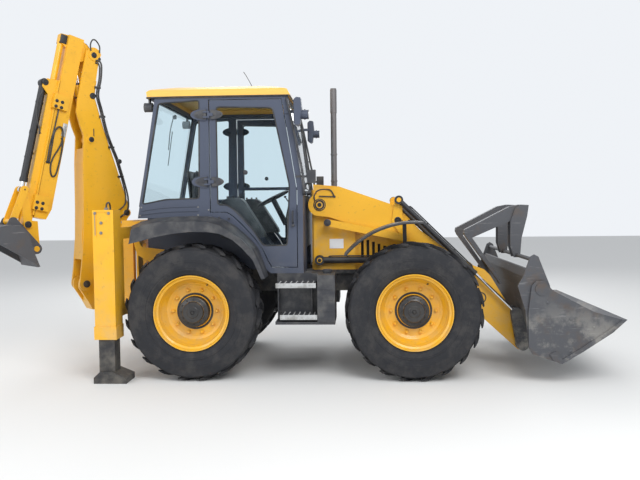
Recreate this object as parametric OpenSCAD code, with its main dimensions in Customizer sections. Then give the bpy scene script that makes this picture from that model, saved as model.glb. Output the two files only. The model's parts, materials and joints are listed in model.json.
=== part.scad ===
// Backhoe loader with equal wheels, parked on its stabiliser legs.
// +X forward, +Y to the machine's left, +Z up, ground at Z = 0, millimetres.

/* [Wheels] */
// distance between the axles
wheelbase = 2220; // [2100:10:2340]
// tyre radius over the lugs
tyre_r = 690; // [680:5:700]
// distance between the centre planes of the wheels on an axle
track = 1840; // [1820:10:1860]
// tyre width over the side walls
tyre_w = 440; // [430:5:450]
// rim flange radius
rim_r = 381; // [370:1:390]
// lugs on each side of a tyre
lugs = 20; // [14:1:20]

/* [Cab] */
// outer face of the cab side from the middle
cab_half = 850; // [830:5:860]
// top of the roof
roof_top = 3025; // [3005:5:3045]

/* [Loader] */
// height of the loader arm pivot
arm_pivot_z = 1761; // [1750:1:1775]
// inner face of a loader arm from the middle
arm_in = 430; // [428:1:436]
// loader arm thickness
arm_w = 75; // [60:1:78]
// half width of the shovel
shovel_half = 1200; // [1180:5:1220]

/* [Backhoe] */
// slew of the backhoe towards the right-hand side
slew_rest = 45; // [0:1:60]
// slew axis behind the rear axle
slew_back = 1220; // [1210:5:1240]
// outer face of a boom cheek from its middle plane
boom_half = 120; // [116:1:130]
// half width of the digging bucket
bucket_half = 250; // [200:5:260]

/* [Fits] */
// radial running clearance of a pin in its bore
pin_gap = 0.05; // [0.03:0.01:0.08]
// gap between faces that turn past each other
side_gap = 7; // [5:1:9]

/* [Hidden] */
$fn = 40;
through = 1;
seat_gap = 0.3;
middle_x = -905;

function arc(c, r, a0, a1, n) = [for (i = [0:n]) [c[0] + r * cos(a0 + (a1 - a0) * i / n), c[1] + r * sin(a0 + (a1 - a0) * i / n)]];
function far(p, q) = norm([q[0] - p[0], q[1] - p[1]]);
function lean(p, q) = atan2(q[1] - p[1], q[0] - p[0]);
function turned(p, c, a) = [c[0] + (p[0] - c[0]) * cos(a) - (p[1] - c[1]) * sin(a), c[1] + (p[0] - c[0]) * sin(a) + (p[1] - c[1]) * cos(a)];

// outline drawn in towards c by the seat gap
function seated(points, c) = [for (p = points) c + (p - c) * (1 - seat_gap / 400)];

// everything is drawn from the rear axle and then moved to the middle of the length
module placed() {
  translate([middle_x, 0, 0]) children();
}

module both_sides() {
  children();
  mirror([0, 1, 0]) children();
}

module side(left) {
  if (left) children();
  else mirror([0, 1, 0]) children();
}

// plate standing in the XZ plane
module plate(points, y0, y1) {
  translate([0, y1, 0]) rotate([90, 0, 0]) linear_extrude(y1 - y0) polygon(points);
}

// round bar across the machine
module cross_bar(p, r, y0, y1) {
  translate([p[0], y0, p[1]]) rotate([-90, 0, 0]) cylinder(r = r, h = y1 - y0);
}

module block(x0, x1, y0, y1, z0, z1) {
  translate([x0, y0, z0]) cube([x1 - x0, y1 - y0, z1 - z0]);
}

// frame whose X axis runs from p to q in the XZ plane
module along(p, q) {
  translate([p[0], 0, p[1]]) rotate([0, -lean(p, q), 0]) children();
}

module bar(r, x0, x1) {
  translate([x0, 0, 0]) rotate([0, 90, 0]) cylinder(r = r, h = x1 - x0);
}

// cylinder tube with its base eye at the origin of the ram frame
module ram_barrel(r, rod_r, pin_r, eye_w, length) {
  difference() {
    union() {
      bar(r, pin_r * 1.5, length);
      bar(r * 1.12, length - r, length);
      cross_bar([0, 0], pin_r * 1.9, -eye_w / 2, eye_w / 2);
    }
    bar(rod_r + pin_gap, pin_r * 2.6, length + through);
    cross_bar([0, 0], pin_r + pin_gap, -eye_w, eye_w);
  }
}

// piston rod with its solid eye at x = reach
module ram_rod(rod_r, eye_r, eye_w, tail, reach) {
  bar(rod_r, tail, reach);
  cross_bar([reach, 0], eye_r, -eye_w / 2, eye_w / 2);
}

// wheels and axles

axle_z = tyre_r;
wheel_y = track / 2;
tyre_in = wheel_y - tyre_w / 2;
kingpin_y = wheel_y - 160;
spindle_r = 55;
knuckle_pin_r = 32;

module lug_ring() {
  for (i = [0:lugs - 1], s = [0, 1])
    rotate([0, 360 / lugs * (i + s / 2), 0]) mirror([0, s, 0])
      tread_lug();
}

// one lug, slanted across half of the tread
module tread_lug() {
  translate([0, 8, tyre_r - 40]) rotate([0, 0, -38])
    translate([-22, 0, 0]) cube([44, 222, 38]);
}

module tyre_ring() {
  h = tyre_w / 2;
  intersection() {
    union() {
      rotate([-90, 0, 0]) rotate_extrude($fn = 60)
        polygon([[rim_r + 0.3, -h + 40], [rim_r + 60, -h + 6], [tyre_r - 150, -h], [tyre_r - 60, -h + 16], [tyre_r - 38, -h + 50], [tyre_r - 30, 0],
          [tyre_r - 38, h - 50], [tyre_r - 60, h - 16], [tyre_r - 150, h], [rim_r + 60, h - 6], [rim_r + 0.3, h - 40]]);
      lug_ring();
    }
    rotate([-90, 0, 0]) rotate_extrude($fn = 60)
      polygon([[rim_r - 9, -h], [tyre_r - 100, -h], [tyre_r - 30, -h + 22], [tyre_r - 6, -h + 60], [tyre_r, -h + 110], [tyre_r, h - 110],
        [tyre_r - 6, h - 60], [tyre_r - 30, h - 22], [tyre_r - 100, h], [rim_r - 9, h]]);
  }
}

module tyre_at(x, left) {
  color("#1c1c1d") placed() side(left) translate([x, wheel_y, axle_z]) tyre_ring();
}

// rim with a dished disc, outer side towards +Y
module rim_body() {
  h = tyre_w / 2;
  difference() {
    rotate([-90, 0, 0]) rotate_extrude($fn = 60)
      polygon([[rim_r - 8, -h + 22], [rim_r, -h + 22], [rim_r, h - 22], [rim_r - 8, h - 22], [rim_r - 22, h - 50], [rim_r - 40, h - 60], [rim_r - 55, 84],
        [rim_r - 90, 20], [260, 6], [170, 6], [155, 20], [152, 84], [112, 92], [104, 122], [0, 124], [0, 58], [spindle_r + pin_gap, 58], [spindle_r + pin_gap, -60], [190, -60], [200, -16], [rim_r - 60, -14],
        [rim_r - 34, -40], [rim_r - 34, -h + 60]]);
    for (a = [0:36:324])
      rotate([0, a, 0]) translate([225, -60, 0]) rotate([-90, 0, 0]) cylinder(r = 13, h = 120, $fn = 16);
  }
}

module rim_at(x, left) {
  color("#eeb111") placed() side(left) translate([x, wheel_y, axle_z]) rim_body();
}

// steering knuckle with the spindle that carries the wheel
module knuckle_body() {
  difference() {
    union() {
      block(-90, 90, -70, 50, -140, 140);
      rotate([-90, 0, 0]) cylinder(r = spindle_r, h = 178);
      translate([0, 29, 0]) rotate([-90, 0, 0]) cylinder(r = 120, h = 34);
    }
    block(-91, 91, -71, 20, -100, 100);
    translate([0, -36, 0]) cylinder(r = knuckle_pin_r + pin_gap, h = 300, center = true);
  }
}

module knuckle_at(x, left) {
  color("#26272a") placed() side(left) translate([x, kingpin_y + 36, axle_z]) knuckle_body();
}

// axle beam with the kingpins at both ends
module axle_at(x) {
  placed() translate([x, 0, axle_z]) {
    rotate([-90, 0, 0]) cylinder(r = 82, h = 2 * (kingpin_y - 46), center = true);
    rotate([-90, 0, 0]) cylinder(r = 165, h = 280, center = true);
    both_sides() {
      translate([0, kingpin_y, 0]) cylinder(r = knuckle_pin_r, h = 296, center = true);
      translate([0, kingpin_y, 0]) cylinder(r = 48, h = 186, center = true);
      translate([0, kingpin_y - 90, 0]) rotate([-90, 0, 0]) cylinder(r = 90, h = 80);
    }
  }
}

module axle_beams() {
  color("#26272a") for (x = [0, wheelbase]) {
    axle_at(x);
    placed() block(x - 110, x + 110, -rail_in + seat_gap, rail_in - seat_gap, axle_z + 150, rail_z0 + 40);
  }
}

// chassis

rail_in = 290;
rail_out = 380;
rail_z0 = 830;
rail_z1 = 1060;
nose_x = wheelbase + 500;
frame_back = -742;
hood_half = 376;
tower_in = 384;
tower_out = arm_in - side_gap - 1;
arm_pivot = [1262, arm_pivot_z];
link_pivot = arm_pivot + [84, -189];
lift_base = [1256, 1168];
pivot_pin_r = 35;
link_pin_r = 22;
lift_pin_r = 28;
lever_in = arm_in + arm_w + side_gap;
lever_w = 16;
link_in = lever_in + lever_w + side_gap - 1;
link_w = 20;
lift_y = arm_in + arm_w / 2;
cab_mount_x = [-480, 940];
eye_y = 200;
eye_r = 25;
eye_x = nose_x - 115;
eye_z = rail_z0 - 84;

module chassis_frame() {
  color("#2b2c2f") placed() {
    both_sides() {
      block(frame_back, nose_x, rail_in, rail_out, rail_z0, rail_z1);
      plate([[1190, rail_z1 - 40], [1640, rail_z1 - 40], [1640, 1560], [1500, 1760], [1440, 1960], [1191, 1982]], tower_in, tower_out);
      block(1190, 1640, rail_out - 20, tower_in + 1, rail_z1 - 60, rail_z1);
      cross_bar(arm_pivot, pivot_pin_r, tower_out - 5, arm_in + arm_w + 6);
      cross_bar(link_pivot, link_pin_r, tower_out - 5, link_in + link_w + 4);
      cross_bar(lift_base, lift_pin_r, tower_out - 5, arm_in + arm_w - 5);
    }
    block(frame_back, frame_back + 60, -rail_in - 1, rail_in + 1, rail_z0, rail_z1);
    block(680, 760, -rail_in - 1, rail_in + 1, rail_z0, rail_z1);
    block(nose_x - 60, nose_x, -rail_in - 1, rail_in + 1, rail_z0 - 60, rail_z1);
    both_sides() {
      for (x = cab_mount_x)
        translate([x, (rail_in + rail_out) / 2, rail_z1 - 1]) cylinder(r = 38, h = floor_z - rail_z1 - seat_gap + 1);
      cross_bar(arm_pivot, 56, arm_in + arm_w + 5, arm_in + arm_w + 14);
      difference() {
        block(eye_x - 50, nose_x - 20, eye_y - 50, eye_y + 50, eye_z, rail_z0 - 59);
        translate([eye_x, eye_y, eye_z - 1]) cylinder(r = eye_r, h = 30);
      }
    }
  }
}

module engine_block() {
  color("#3a3b3d") placed() block(1330, wheelbase - 70, -rail_in + seat_gap, rail_in - seat_gap, axle_z + 190, 1500);
}

hood_line = [[1172, 1925], [1450, 1895], [wheelbase - 180, 1690], [wheelbase + 110, 1440], [wheelbase + 380, 1240], [nose_x + 20, 1130], [nose_x + 40, 1080]];
hood_inner = [[1160, 1890], [1440, 1865], [wheelbase - 195, 1660], [wheelbase + 95, 1410], [wheelbase + 360, 1212], [nose_x, 1106], [nose_x + 18, rail_z1 - 1], [1160, rail_z1 - 1]];
grille_x = nose_x + 45;

module hood() {
  color("#eeb111") placed() difference() {
    plate(concat(hood_line, [[nose_x + 40, rail_z1 + seat_gap], [1172, rail_z1 + seat_gap]]), -hood_half, hood_half);
    plate(hood_inner, -hood_half + 14, hood_half - 14);
    for (i = [0:5])
      block(1700 + i * 60, 1730 + i * 60, -hood_half - 1, hood_half + 1, 1180, 1400 - i * 22);
  }
  color("#eeb111") placed() translate([stack_x, stack_y, 1880]) cylinder(r = 50, h = stack_foot - 1880);
}

module nose_grille() {
  color("#232427") placed() {
    block(grille_x, grille_x + 25, -rail_out + 5, rail_out - 5, 700, 1075);
    for (i = [0:6])
      block(grille_x + 24, grille_x + 33, -rail_out + 30, rail_out - 30, 740 + i * 46, 758 + i * 46);
    both_sides() block(nose_x + seat_gap, grille_x + 1, rail_in, rail_out - 5, rail_z0, rail_z1);
  }
}

// rear frame and stabiliser legs

leg_x = -850;
leg_out = 1175;
leg_size = 210;
leg_in_y = leg_out - leg_size;
leg_y = leg_out - leg_size / 2;
leg_bore = 172;
leg_inner = 160;
leg_guide = leg_inner / 2 + seat_gap;
leg_top = 1732;
leg_low = 440;
rail_top = [1430, 1550];
rail_low = [640, 760];
rear_rail_x0 = -832;
rear_rail_x1 = -762;

module rear_frame() {
  color("#eeb111") placed() {
    for (z = [rail_top, rail_low])
      block(rear_rail_x0, rear_rail_x1, -leg_in_y, leg_in_y, z[0], z[1]);
    both_sides() {
      block(rear_rail_x0 + 12, rear_rail_x1, 840, leg_in_y, rail_low[1], rail_top[0]);
      block(rear_rail_x1 - 1, frame_back - seat_gap, 250, 420, rail_low[0], rail_top[1]);
      plate([[rear_rail_x1 - 8, 1530], [-667, 1330], [-419, 1296], [-470, 1215], [-547, 1143], [-719, 1243], [rear_rail_x1 - 8, 1440]], 520, 535);
      difference() {
        union() {
          block(leg_x - leg_size / 2, leg_x + leg_size / 2, leg_in_y, leg_out, leg_low, leg_top);
          block(leg_x - leg_size / 2 - 8, leg_x + leg_size / 2 + 8, leg_in_y - 1, leg_out + 8, leg_low, leg_low + 130);
        }
        block(leg_x - leg_bore / 2, leg_x + leg_bore / 2, leg_y - leg_bore / 2, leg_y + leg_bore / 2, leg_low + 70, leg_top - 20);
        block(leg_x - leg_guide, leg_x + leg_guide, leg_y - leg_guide, leg_y + leg_guide, leg_low - 1, leg_low + 71);
        block(leg_x - 70, leg_x + 70, leg_out - 6, leg_out + 1, leg_top - 270, leg_top - 20);
      }
    }
  }
}

module leg_at(left) {
  color("#2a2b2e") placed() side(left) {
    block(leg_x - leg_inner / 2, leg_x + leg_inner / 2, leg_y - leg_inner / 2, leg_y + leg_inner / 2, 60, 1240);
    plate([[leg_x - 125, 60], [leg_x - 60, 120], [leg_x + 60, 120], [leg_x + 205, 60], [leg_x + 205, 0], [leg_x - 125, 0]], leg_out - 250, leg_out + 20);
  }
}

// cab

cab_in = cab_half - 50;
cab_low = rail_z1 + 5;
floor_z = 1075;
floor_top = floor_z + 40 + seat_gap;
header_top = roof_top - 130;
door_gap = 5;
door_shape = [[165, 1700], [330, 1700], [400, 1655], [480, 1578], [607, 1438], [697, 1315], [750, 1195], [790, 1130], [1046, 1130], [1046, 1924], [901, 2835], [165, 2835]];
door_hole = [[154, 1692], [327, 1692], [395, 1648], [475, 1571], [601, 1432], [690, 1310], [743, 1190], [784, 1122], [1054, 1122], [1054, 1926], [907, 2843], [154, 2843]];
door_window = [[235, 1770], [330, 1770], [400, 1720], [483, 1637], [607, 1497], [698, 1350], [946, 1350], [975, 1963], [812, 2750], [235, 2768]];
side_outline = [[-600, 1640], [240, 1640], [330, 1560], [599, 1240], [760, 1075], [775, cab_low], [1110, cab_low], [1112, 1926], [962, header_top], [-392, header_top]];
arch_shape = [[-590, 1652], [243, 1652], [336, 1570], [606, 1250], [722, 1118], [722, 1085], [790, 1085], [790, 1100], [752, 1125], [618, 1278], [345, 1605], [252, 1688], [-590, 1688]];
rear_window = [[-550, 1785], [-303, 1832], [44, 1840], [60, 2838], [-362, 2812]];

// raised ribs under the rear side window
side_ribs = [[[-556, 1730], [-400, 1753], [-244, 1766], [30, 1771]], [[-568, 1690], [-400, 1708], [-245, 1720], [30, 1724]]];

hinge_x = 157;
hinge_y = cab_half + 15;
hinge_r = 8;
hinge_z = [2008, 2690];
rail_z = 1953;
cover_x = 120;
cover_l = 150;
cover_h = 60;

// pair of bored lugs on the door pillar
module hinge_lugs(z) {
  for (s = [-34, 18])
    difference() {
      union() {
        translate([hinge_x, hinge_y, z + s]) cylinder(r = 15, h = 16);
        block(hinge_x - 53, hinge_x, cab_half - 1, cab_half + 30, z + s, z + s + 16);
      }
      translate([hinge_x, hinge_y, z + s - 1]) cylinder(r = hinge_r + pin_gap, h = 18);
    }
}

// leaf and pin on the door
module hinge_leaf(z) {
  translate([hinge_x, hinge_y, z - 34]) cylinder(r = hinge_r, h = 68);
  translate([hinge_x, hinge_y, z - 17]) cylinder(r = 15, h = 34);
  block(hinge_x, hinge_x + 47, cab_half - 1, cab_half + 30, z - 17, z + 17);
  hinge_cover(z, hinge_x + 24, hinge_x + 200);
}

// oval cover over a hinge, between x0 and x1
module hinge_cover(z, x0, x1) {
  intersection() {
    plate([for (a = [0:20:340]) [cover_x + cover_l * cos(a), z + cover_h * sin(a)]], cab_half - 1, cab_half + 14);
    block(x0, x1, cab_half - 2, cab_half + 15, z - 100, z + 100);
  }
}

module cab_frame() {
  color("#3b4450") placed() {
    difference() {
      union() {
        both_sides() plate(side_outline, cab_in, cab_half);
        block(-450, 940, -cab_in - 1, cab_in + 1, header_top - 45, header_top);
        block(-575, 1066, -500, 500, floor_z, floor_z + 40);
        block(780, 1060, -cab_in - 1, cab_in + 1, floor_z, floor_z + 40);
        plate([[-603, 1680], [-560, 1680], [-560, floor_z + 2], [-603, floor_z + 2]], -505, 505);
        plate([[-605, 1690], [-592, 1760], [-552, 1760], [-550, 1650], [-605, 1650]], -cab_in - 1, cab_in + 1);
        plate([[1060, cab_low], [1108, cab_low], [1110, 1850], [1070, 1850]], -cab_in - 1, cab_in + 1);
        both_sides() plate(arch_shape, 498, cab_in + 2);
        both_sides() plate([[-570, floor_z + 4], [735, floor_z + 4], [735, 1122], [612, 1262], [338, 1585], [246, 1670], [-570, 1670]], 490, 514);
      }
      both_sides() {
        plate(door_hole, cab_in - 1, cab_half + 1);
        plate(rear_window, cab_in - 1, cab_half + 1);
      }
      block(-380, 860, -cab_in + 60, cab_in - 60, header_top - 46, header_top + 1);
      block(1000, 1200, -310, 310, 1060, 1300);
    }
    both_sides() {
      for (z = hinge_z)
        hinge_lugs(z);
      for (z = hinge_z)
        hinge_cover(z, hinge_x - 200, hinge_x - 24);
      for (r = side_ribs)
        plate(concat(r, [for (i = [3:-1:0]) r[i] - [0, 15]]), cab_half - 1, cab_half + 8);
      block(945, 985, cab_half - 30, cab_half + 14, 2690, 2720);
      block(945, 1062, cab_half + 2, cab_half + 14, 2690, 2720);
      block(1050, 1062, cab_half + 2, cab_half + 100, 2690, 2720);
      plate([[1045, 2805], [1070, 2826], [1112, 2820], [1122, 2720], [1104, 2560], [1080, 2545], [1050, 2565]], cab_half + 60, cab_half + 190);
      translate([1100, cab_half + 120, 2660]) rotate([0, 90, 0]) cylinder(r = 46, h = 82);
    }
  }
}

roof_half = cab_half + 15;
roof_low = header_top - 27;
roof_line = [[-473, roof_low], [-480, roof_top - 95], [-440, roof_top - 60], [-200, roof_top - 15], [100, roof_top], [500, roof_top - 5], [800, roof_top - 35], [960, roof_top - 85], [992, roof_top - 145], [985, roof_low]];
roof_crown = [[roof_half, roof_low - 1], [roof_half, roof_top - 100], [roof_half - 25, roof_top - 75], [640, roof_top - 20], [480, roof_top]];

// crowned shell that sits on the cab's header
module cab_roof() {
  color("#efdfa0") placed() difference() {
    intersection() {
      plate(roof_line, -roof_half, roof_half);
      translate([-500, 0, 0]) rotate([90, 0, 90]) linear_extrude(1520)
        polygon(concat(roof_crown, [for (i = [4:-1:0]) [-roof_crown[i][0], roof_crown[i][1]]]));
    }
    block(-458, 970, -cab_half - seat_gap, cab_half + seat_gap, roof_low - 1, header_top + seat_gap);
    block(-400, 880, -cab_half + 80, cab_half - 80, header_top, roof_top - 75);
  }
}

// rear lamps under the roof and front lamps on the pillars
module work_lamps() {
  color("#26282b") placed() both_sides() {
    translate([-512, cab_half - 62, lamp_z]) rotate([0, 90, 0]) cylinder(r = 47, h = 76);
    block(-472, -459, cab_half - 92, cab_half - 32, lamp_z + 20, roof_low - seat_gap);
    block(1040, 1160, cab_half + seat_gap, cab_half + 10, 2040, 2062);
    block(1156, 1236, cab_half - 64, cab_half + 10, 1985, 2118);
  }
}

lamp_z = 2782;

module cab_glass() {
  color("#9db8c4") placed() {
    both_sides() plate(seated(rear_window, [-200, 2330]), cab_half - 28, cab_half - 20);
    plate([[1094, 1850 + seat_gap], [1102, 1926], [956, 2850 - seat_gap], [948, 2850 - seat_gap], [1092, 1926], [1084, 1850 + seat_gap]], -cab_in + seat_gap, cab_in - seat_gap);
    plate([[-588, 1760 + seat_gap], [-400, 2850 - seat_gap], [-392, 2850 - seat_gap], [-580, 1760 + seat_gap]], -cab_in + seat_gap, cab_in - seat_gap);
  }
}

module door_at(left) {
  color("#3b4450") placed() side(left) {
    difference() {
      union() {
        plate(door_shape, cab_half - 40, cab_half);
        block(990, 1030, cab_half - 1, cab_half + 30, 1560, 1720);
      }
      plate(door_window, cab_half - 41, cab_half + 1);
    }
    if (left)
      block(234, 977, cab_half - 40, cab_half - 25, rail_z, rail_z + 38);
    for (z = hinge_z)
      hinge_leaf(z);
  }
}

module door_glass_at(left) {
  color("#9db8c4") placed() side(left)
    plate(seated(door_window, [620, 2050]), cab_half - 24, cab_half - 16);
}

fender_top = [[-622, 1568], [-516, 1612], [-356, 1646], [-196, 1656], [16, 1659], [175, 1653], [301, 1620], [405, 1562], [540, 1451], [644, 1333], [700, 1190], [748, 1040]];
fender_under = [[722, 1034], [675, 1180], [620, 1318], [520, 1430], [390, 1540], [290, 1596], [170, 1627], [16, 1633], [-196, 1630], [-350, 1620], [-508, 1586], [-618, 1541]];
fender_lip = [[710, 1028], [668, 1126], [629, 1219], [529, 1331], [429, 1422], [298, 1484], [176, 1503], [-8, 1505], [-172, 1488], [-337, 1459], [-493, 1420], [-617, 1390]];
fender_out = 1115;
fender_bend = 985;
fender_drop = [50, 50, 50, 50, 50, 50, 50, 50, 35, 20, 10, 4];
fender_wall = 20;
fender_c = [60, axle_z];

function at_y(p, y) = [p[0], y, p[1]];

// section of a fender at one station: roof, sloping edge and hanging lip
function fender_section(i) =
  let (n = len(fender_top) - 1, top = fender_top[i], under = fender_under[n - i], lip = fender_lip[n - i])
  let (drop = fender_drop[i] * (top - fender_c) / norm(top - fender_c))
  [at_y(top, cab_half + seat_gap), at_y(top, fender_bend), at_y(top - drop, fender_out), at_y(lip, fender_out),
    at_y(lip, fender_out - fender_wall), at_y(under - drop, fender_out - fender_wall), at_y(under, fender_bend), at_y(under, cab_half + seat_gap)];

// end of a fender, as triangles of one section
section_faces = [[0, 1, 6], [0, 6, 7], [1, 2, 5], [1, 5, 6], [2, 3, 4], [2, 4, 5]];

// loft through the sections at all stations
module rear_fenders() {
  n = len(fender_top);
  m = len(fender_section(0));
  color("#232426") placed() both_sides() polyhedron(
    points = [for (i = [0:n - 1]) each fender_section(i)],
    faces = concat(
      [for (f = section_faces) [f[2], f[1], f[0]]],
      [for (f = section_faces) f + [1, 1, 1] * m * (n - 1)],
      [for (i = [0:n - 2], j = [0:m - 1]) [m * i + j, m * i + (j + 1) % m, m * (i + 1) + (j + 1) % m]],
      [for (i = [0:n - 2], j = [0:m - 1]) [m * i + j, m * (i + 1) + (j + 1) % m, m * (i + 1) + j]]));
}

// side tanks with steps

tank_in = 560;
step_out = 1100;

module side_tanks() {
  color("#242527") placed() both_sides() {
    block(1262, 1436, tank_in, step_out - 10, 600, 1066);
    block(840, 1262, tank_in, 860, 574, cab_low - seat_gap);
    block(840, 1436, tank_in, step_out - 20, 572, 600);
    block(1190, 1300, rail_out, tank_in + 1, 840, 960);
    block(880, 960, rail_out, tank_in + 1, 840, 960);
    for (s = [[851, 1247, 940, 984], [890, 1258, 620, 668]])
      step_tray(s[0], s[1], s[2], s[3]);
    for (x = [851, 1190])
      block(x, x + 12, 855, 920, 620, 984);
  }
}

// folded step tray with round grip holes
module step_tray(x0, x1, z0, z1) {
  difference() {
    block(x0, x1, 859, step_out, z0, z1);
    for (i = [0:5], j = [0:2])
      translate([x0 + 45 + i * (x1 - x0 - 90) / 5, 905 + j * 66, z0 - 1]) cylinder(r = 18, h = 60, $fn = 12);
    block(x0 + 12, x1 - 12, 862, step_out - 12, z0 - 1, z1 - 8);
  }
}

// inside the cab

module driver_seat() {
  color("#2c2d30") placed() {
    block(-120, 330, -240, 240, 1480, 1600);
    plate([[-190, 1560], [-90, 1560], [-150, 2180], [-250, 2180]], -230, 230);
    block(-80, 280, -170, 170, floor_top, 1481);
  }
}

module driver_controls() {
  color("#2c2d30") placed() {
    plate([[820, floor_top], [1058, floor_top], [1062, 1750], [900, 1780], [860, 1600], [860, 1300]], -210, 210);
    along([840, 1560], [690, 1860]) bar(30, -20, 312);
    along([840, 1560], [690, 1860]) translate([310, 0, 0]) rotate([0, 90, 0]) rotate_extrude($fn = 36) translate([185, 0]) circle(r = 14, $fn = 12);
    along([840, 1560], [690, 1860]) translate([310, 0, 0]) {
      block(-8, 8, -185, 185, -14, 14);
      block(-8, 8, -14, 14, -185, 5);
    }
    block(-500, -330, -330, 330, floor_top, 1560);
    for (y = [-150, 150])
      translate([-400, y, 1540]) cylinder(r = 12, h = 260, $fn = 16);
  }
}

stack_x = 1413;
stack_y = -300;
stack_foot = 1906;

module exhaust_stack() {
  color("#4a4b4d") placed() translate([stack_x, stack_y, stack_foot + seat_gap]) difference() {
    cylinder(r = 32, h = 1114);
    translate([0, 0, 400]) cylinder(r = 27, h = 800);
  }
}

// mudguards on the front knuckles

guard_r = tyre_r + 192;
guard_x = wheelbase - 74;
guard_top = axle_z + guard_r + 2;
knuckle_top = axle_z + 140;

module mudguard_at(left) {
  color("#4b463f") placed() side(left) {
    plate(concat(arc([wheelbase, axle_z], guard_r + 18, 140, 84, 14), arc([wheelbase, axle_z], guard_r, 84, 140, 14)), 760, 1110);
    plate([[guard_x - 16, guard_top], [guard_x + 24, guard_top], [guard_x + 40, knuckle_top + 30], [guard_x + 40, knuckle_top + seat_gap], [guard_x, knuckle_top + seat_gap], [guard_x, knuckle_top + 30]], tyre_in - 46, tyre_in - 22);
    block(guard_x - 86, guard_x + 84, tyre_in - 46, 770, guard_top - 12, guard_top);
    block(guard_x, guard_x + 40, tyre_in - 46, 800, knuckle_top + seat_gap, knuckle_top + 12);
  }
}

// loader

lever_pivot = [2090, 1590];
lever_foot = lever_pivot + link_pivot - arm_pivot;
lever_top = lever_pivot + [10, 215];
lift_eye = [2300, 1170];
shovel_pin = [3385, 275];
tilt_eye = shovel_pin + [-62, 330];
shovel_pin_r = 30;
lever_pin_r = 30;
tilt_pin_r = 24;
tilt_r = 27;
tilt_rod_r = 16;
tilt_y = lever_in + lever_w + 3 + tilt_r;
shovel_lug_w = 22;
lift_lug_w = 12;
arm_shape = concat(arc(arm_pivot, 122, 250, 110, 10),
  [[1461, 1958], [2041, 1754], [2160, 1660], [2330, 1480], [2620, 1262], [2880, 1105], [3000, 1060], [3060, 1000], [3322, 565], [3412, 340]],
  arc(shovel_pin, 72, 30, -125, 8),
  [[2998, 534], [2925, 680], [2800, 890], [2620, 1050], [2420, 1190], [2330, 1235], [1833, 1470], [1359, 1630]]);

module loader_arms() {
  color("#eeb111") placed() {
    both_sides() {
      difference() {
        union() {
          plate(arm_shape, arm_in, arm_in + arm_w);
          plate([[2225, 1300], [2380, 1260], [2350, 1150], [2300, 1115], [2250, 1150]], arm_in, arm_in + lift_lug_w);
          plate([[2225, 1300], [2380, 1260], [2350, 1150], [2300, 1115], [2250, 1150]], arm_in + arm_w - lift_lug_w, arm_in + arm_w);
        }
        cross_bar(arm_pivot, pivot_pin_r + pin_gap, arm_in - 1, arm_in + arm_w + 1);
        cross_bar(shovel_pin, shovel_pin_r + pin_gap, arm_in - 1, arm_in + arm_w + 1);
        plate([[2180, 1215], [2420, 1215], [2420, 1100], [2180, 1100]], arm_in + lift_lug_w, arm_in + arm_w - lift_lug_w);
      }
      cross_bar(lever_pivot, lever_pin_r, arm_in + arm_w - 1, lever_in + lever_w + 4);
    }
    cross_bar([2960, 760], 60, -arm_in - 1, arm_in + 1);
  }
}

module tilt_levers() {
  color("#eeb111") placed() both_sides() {
    difference() {
      plate(concat(arc(lever_foot, 42, 260, 380, 6), arc(lever_pivot, 62, -20, 40, 4), arc(lever_top, 42, 0, 160, 8), arc(lever_pivot, 62, 160, 220, 4)), lever_in, lever_in + lever_w);
      cross_bar(lever_pivot, lever_pin_r + pin_gap, lever_in - 1, lever_in + lever_w + 1);
    }
    cross_bar(lever_foot, link_pin_r, lever_in + lever_w - 1, link_in + link_w + 4);
    cross_bar(lever_top, tilt_pin_r, lever_in + lever_w - 1, tilt_y + 24);
  }
}

module levelling_links() {
  color("#eeb111") placed() both_sides() difference() {
    plate(concat(arc(link_pivot, 38, 70, 250, 8), arc(lever_foot, 38, 250, 430, 8)), link_in, link_in + link_w);
    for (p = [link_pivot, lever_foot])
      cross_bar(p, link_pin_r + pin_gap, link_in - 1, link_in + link_w + 1);
  }
}

lift_len = far(lift_base, lift_eye);

module lift_barrels() {
  color("#202124") placed() both_sides() translate([0, lift_y, 0])
    along(lift_base, lift_eye) ram_barrel(34, 22, lift_pin_r, 60, 860);
}

module lift_rods() {
  color("#c9ccd0") placed() both_sides() translate([0, lift_y, 0])
    along(lift_base, lift_eye) ram_rod(22, 34, 26, 110, lift_len);
}

tilt_len = far(lever_top, tilt_eye);

module tilt_barrels() {
  color("#202124") placed() both_sides() translate([0, tilt_y, 0])
    along(lever_top, tilt_eye) ram_barrel(tilt_r, tilt_rod_r, tilt_pin_r, 44, 1120);
}

module tilt_rods() {
  color("#c9ccd0") placed() both_sides() translate([0, tilt_y, 0])
    along(lever_top, tilt_eye) ram_rod(tilt_rod_r, 26, 24, 160, tilt_len);
}

module shovel_pins() {
  color("#8f9294") placed() both_sides() {
    cross_bar(shovel_pin, shovel_pin_r, arm_in - 60, arm_in + arm_w + 60);
    cross_bar(shovel_pin, shovel_pin_r + 12, arm_in + arm_w + 50, arm_in + arm_w + 62);
  }
}

// back half of the shovel with the lugs, and the clam half that swings on it
board_rear = [[3290, 1110], [3275, 1040], [3330, 900], [3372, 640], [3415, 430], [3476, 345]];
board_front = [[3520, 365], [3450, 450], [3400, 650], [3358, 905], [3304, 1040], [3315, 1110]];
end_shape = [[3255, 1044], [3205, 957], [3279, 714], [3305, 420], [3341, 335], [3490, 335], [3470, 700], [3520, 860], [3510, 960], [3423, 1179], [3400, 1240], [3360, 1262], [3322, 1240]];
clam_pivot = [3424, 930];
clam_pin_r = 26;
clam_shape = [[3330, 960], [3370, 1010], [3450, 1010], [3530, 917], [3919, 709], [4184, 635], [4227, 635], [4091, 509], [3815, 325], [3620, 207], [3341, 300], [3305, 363], [3300, 714]];
clam_floor = [[3500, 300], [3540, 235], [3620, 207], [3815, 325], [4091, 509], [4227, 635], [4184, 635], [4050, 532], [3790, 357], [3622, 252], [3560, 330]];
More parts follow.
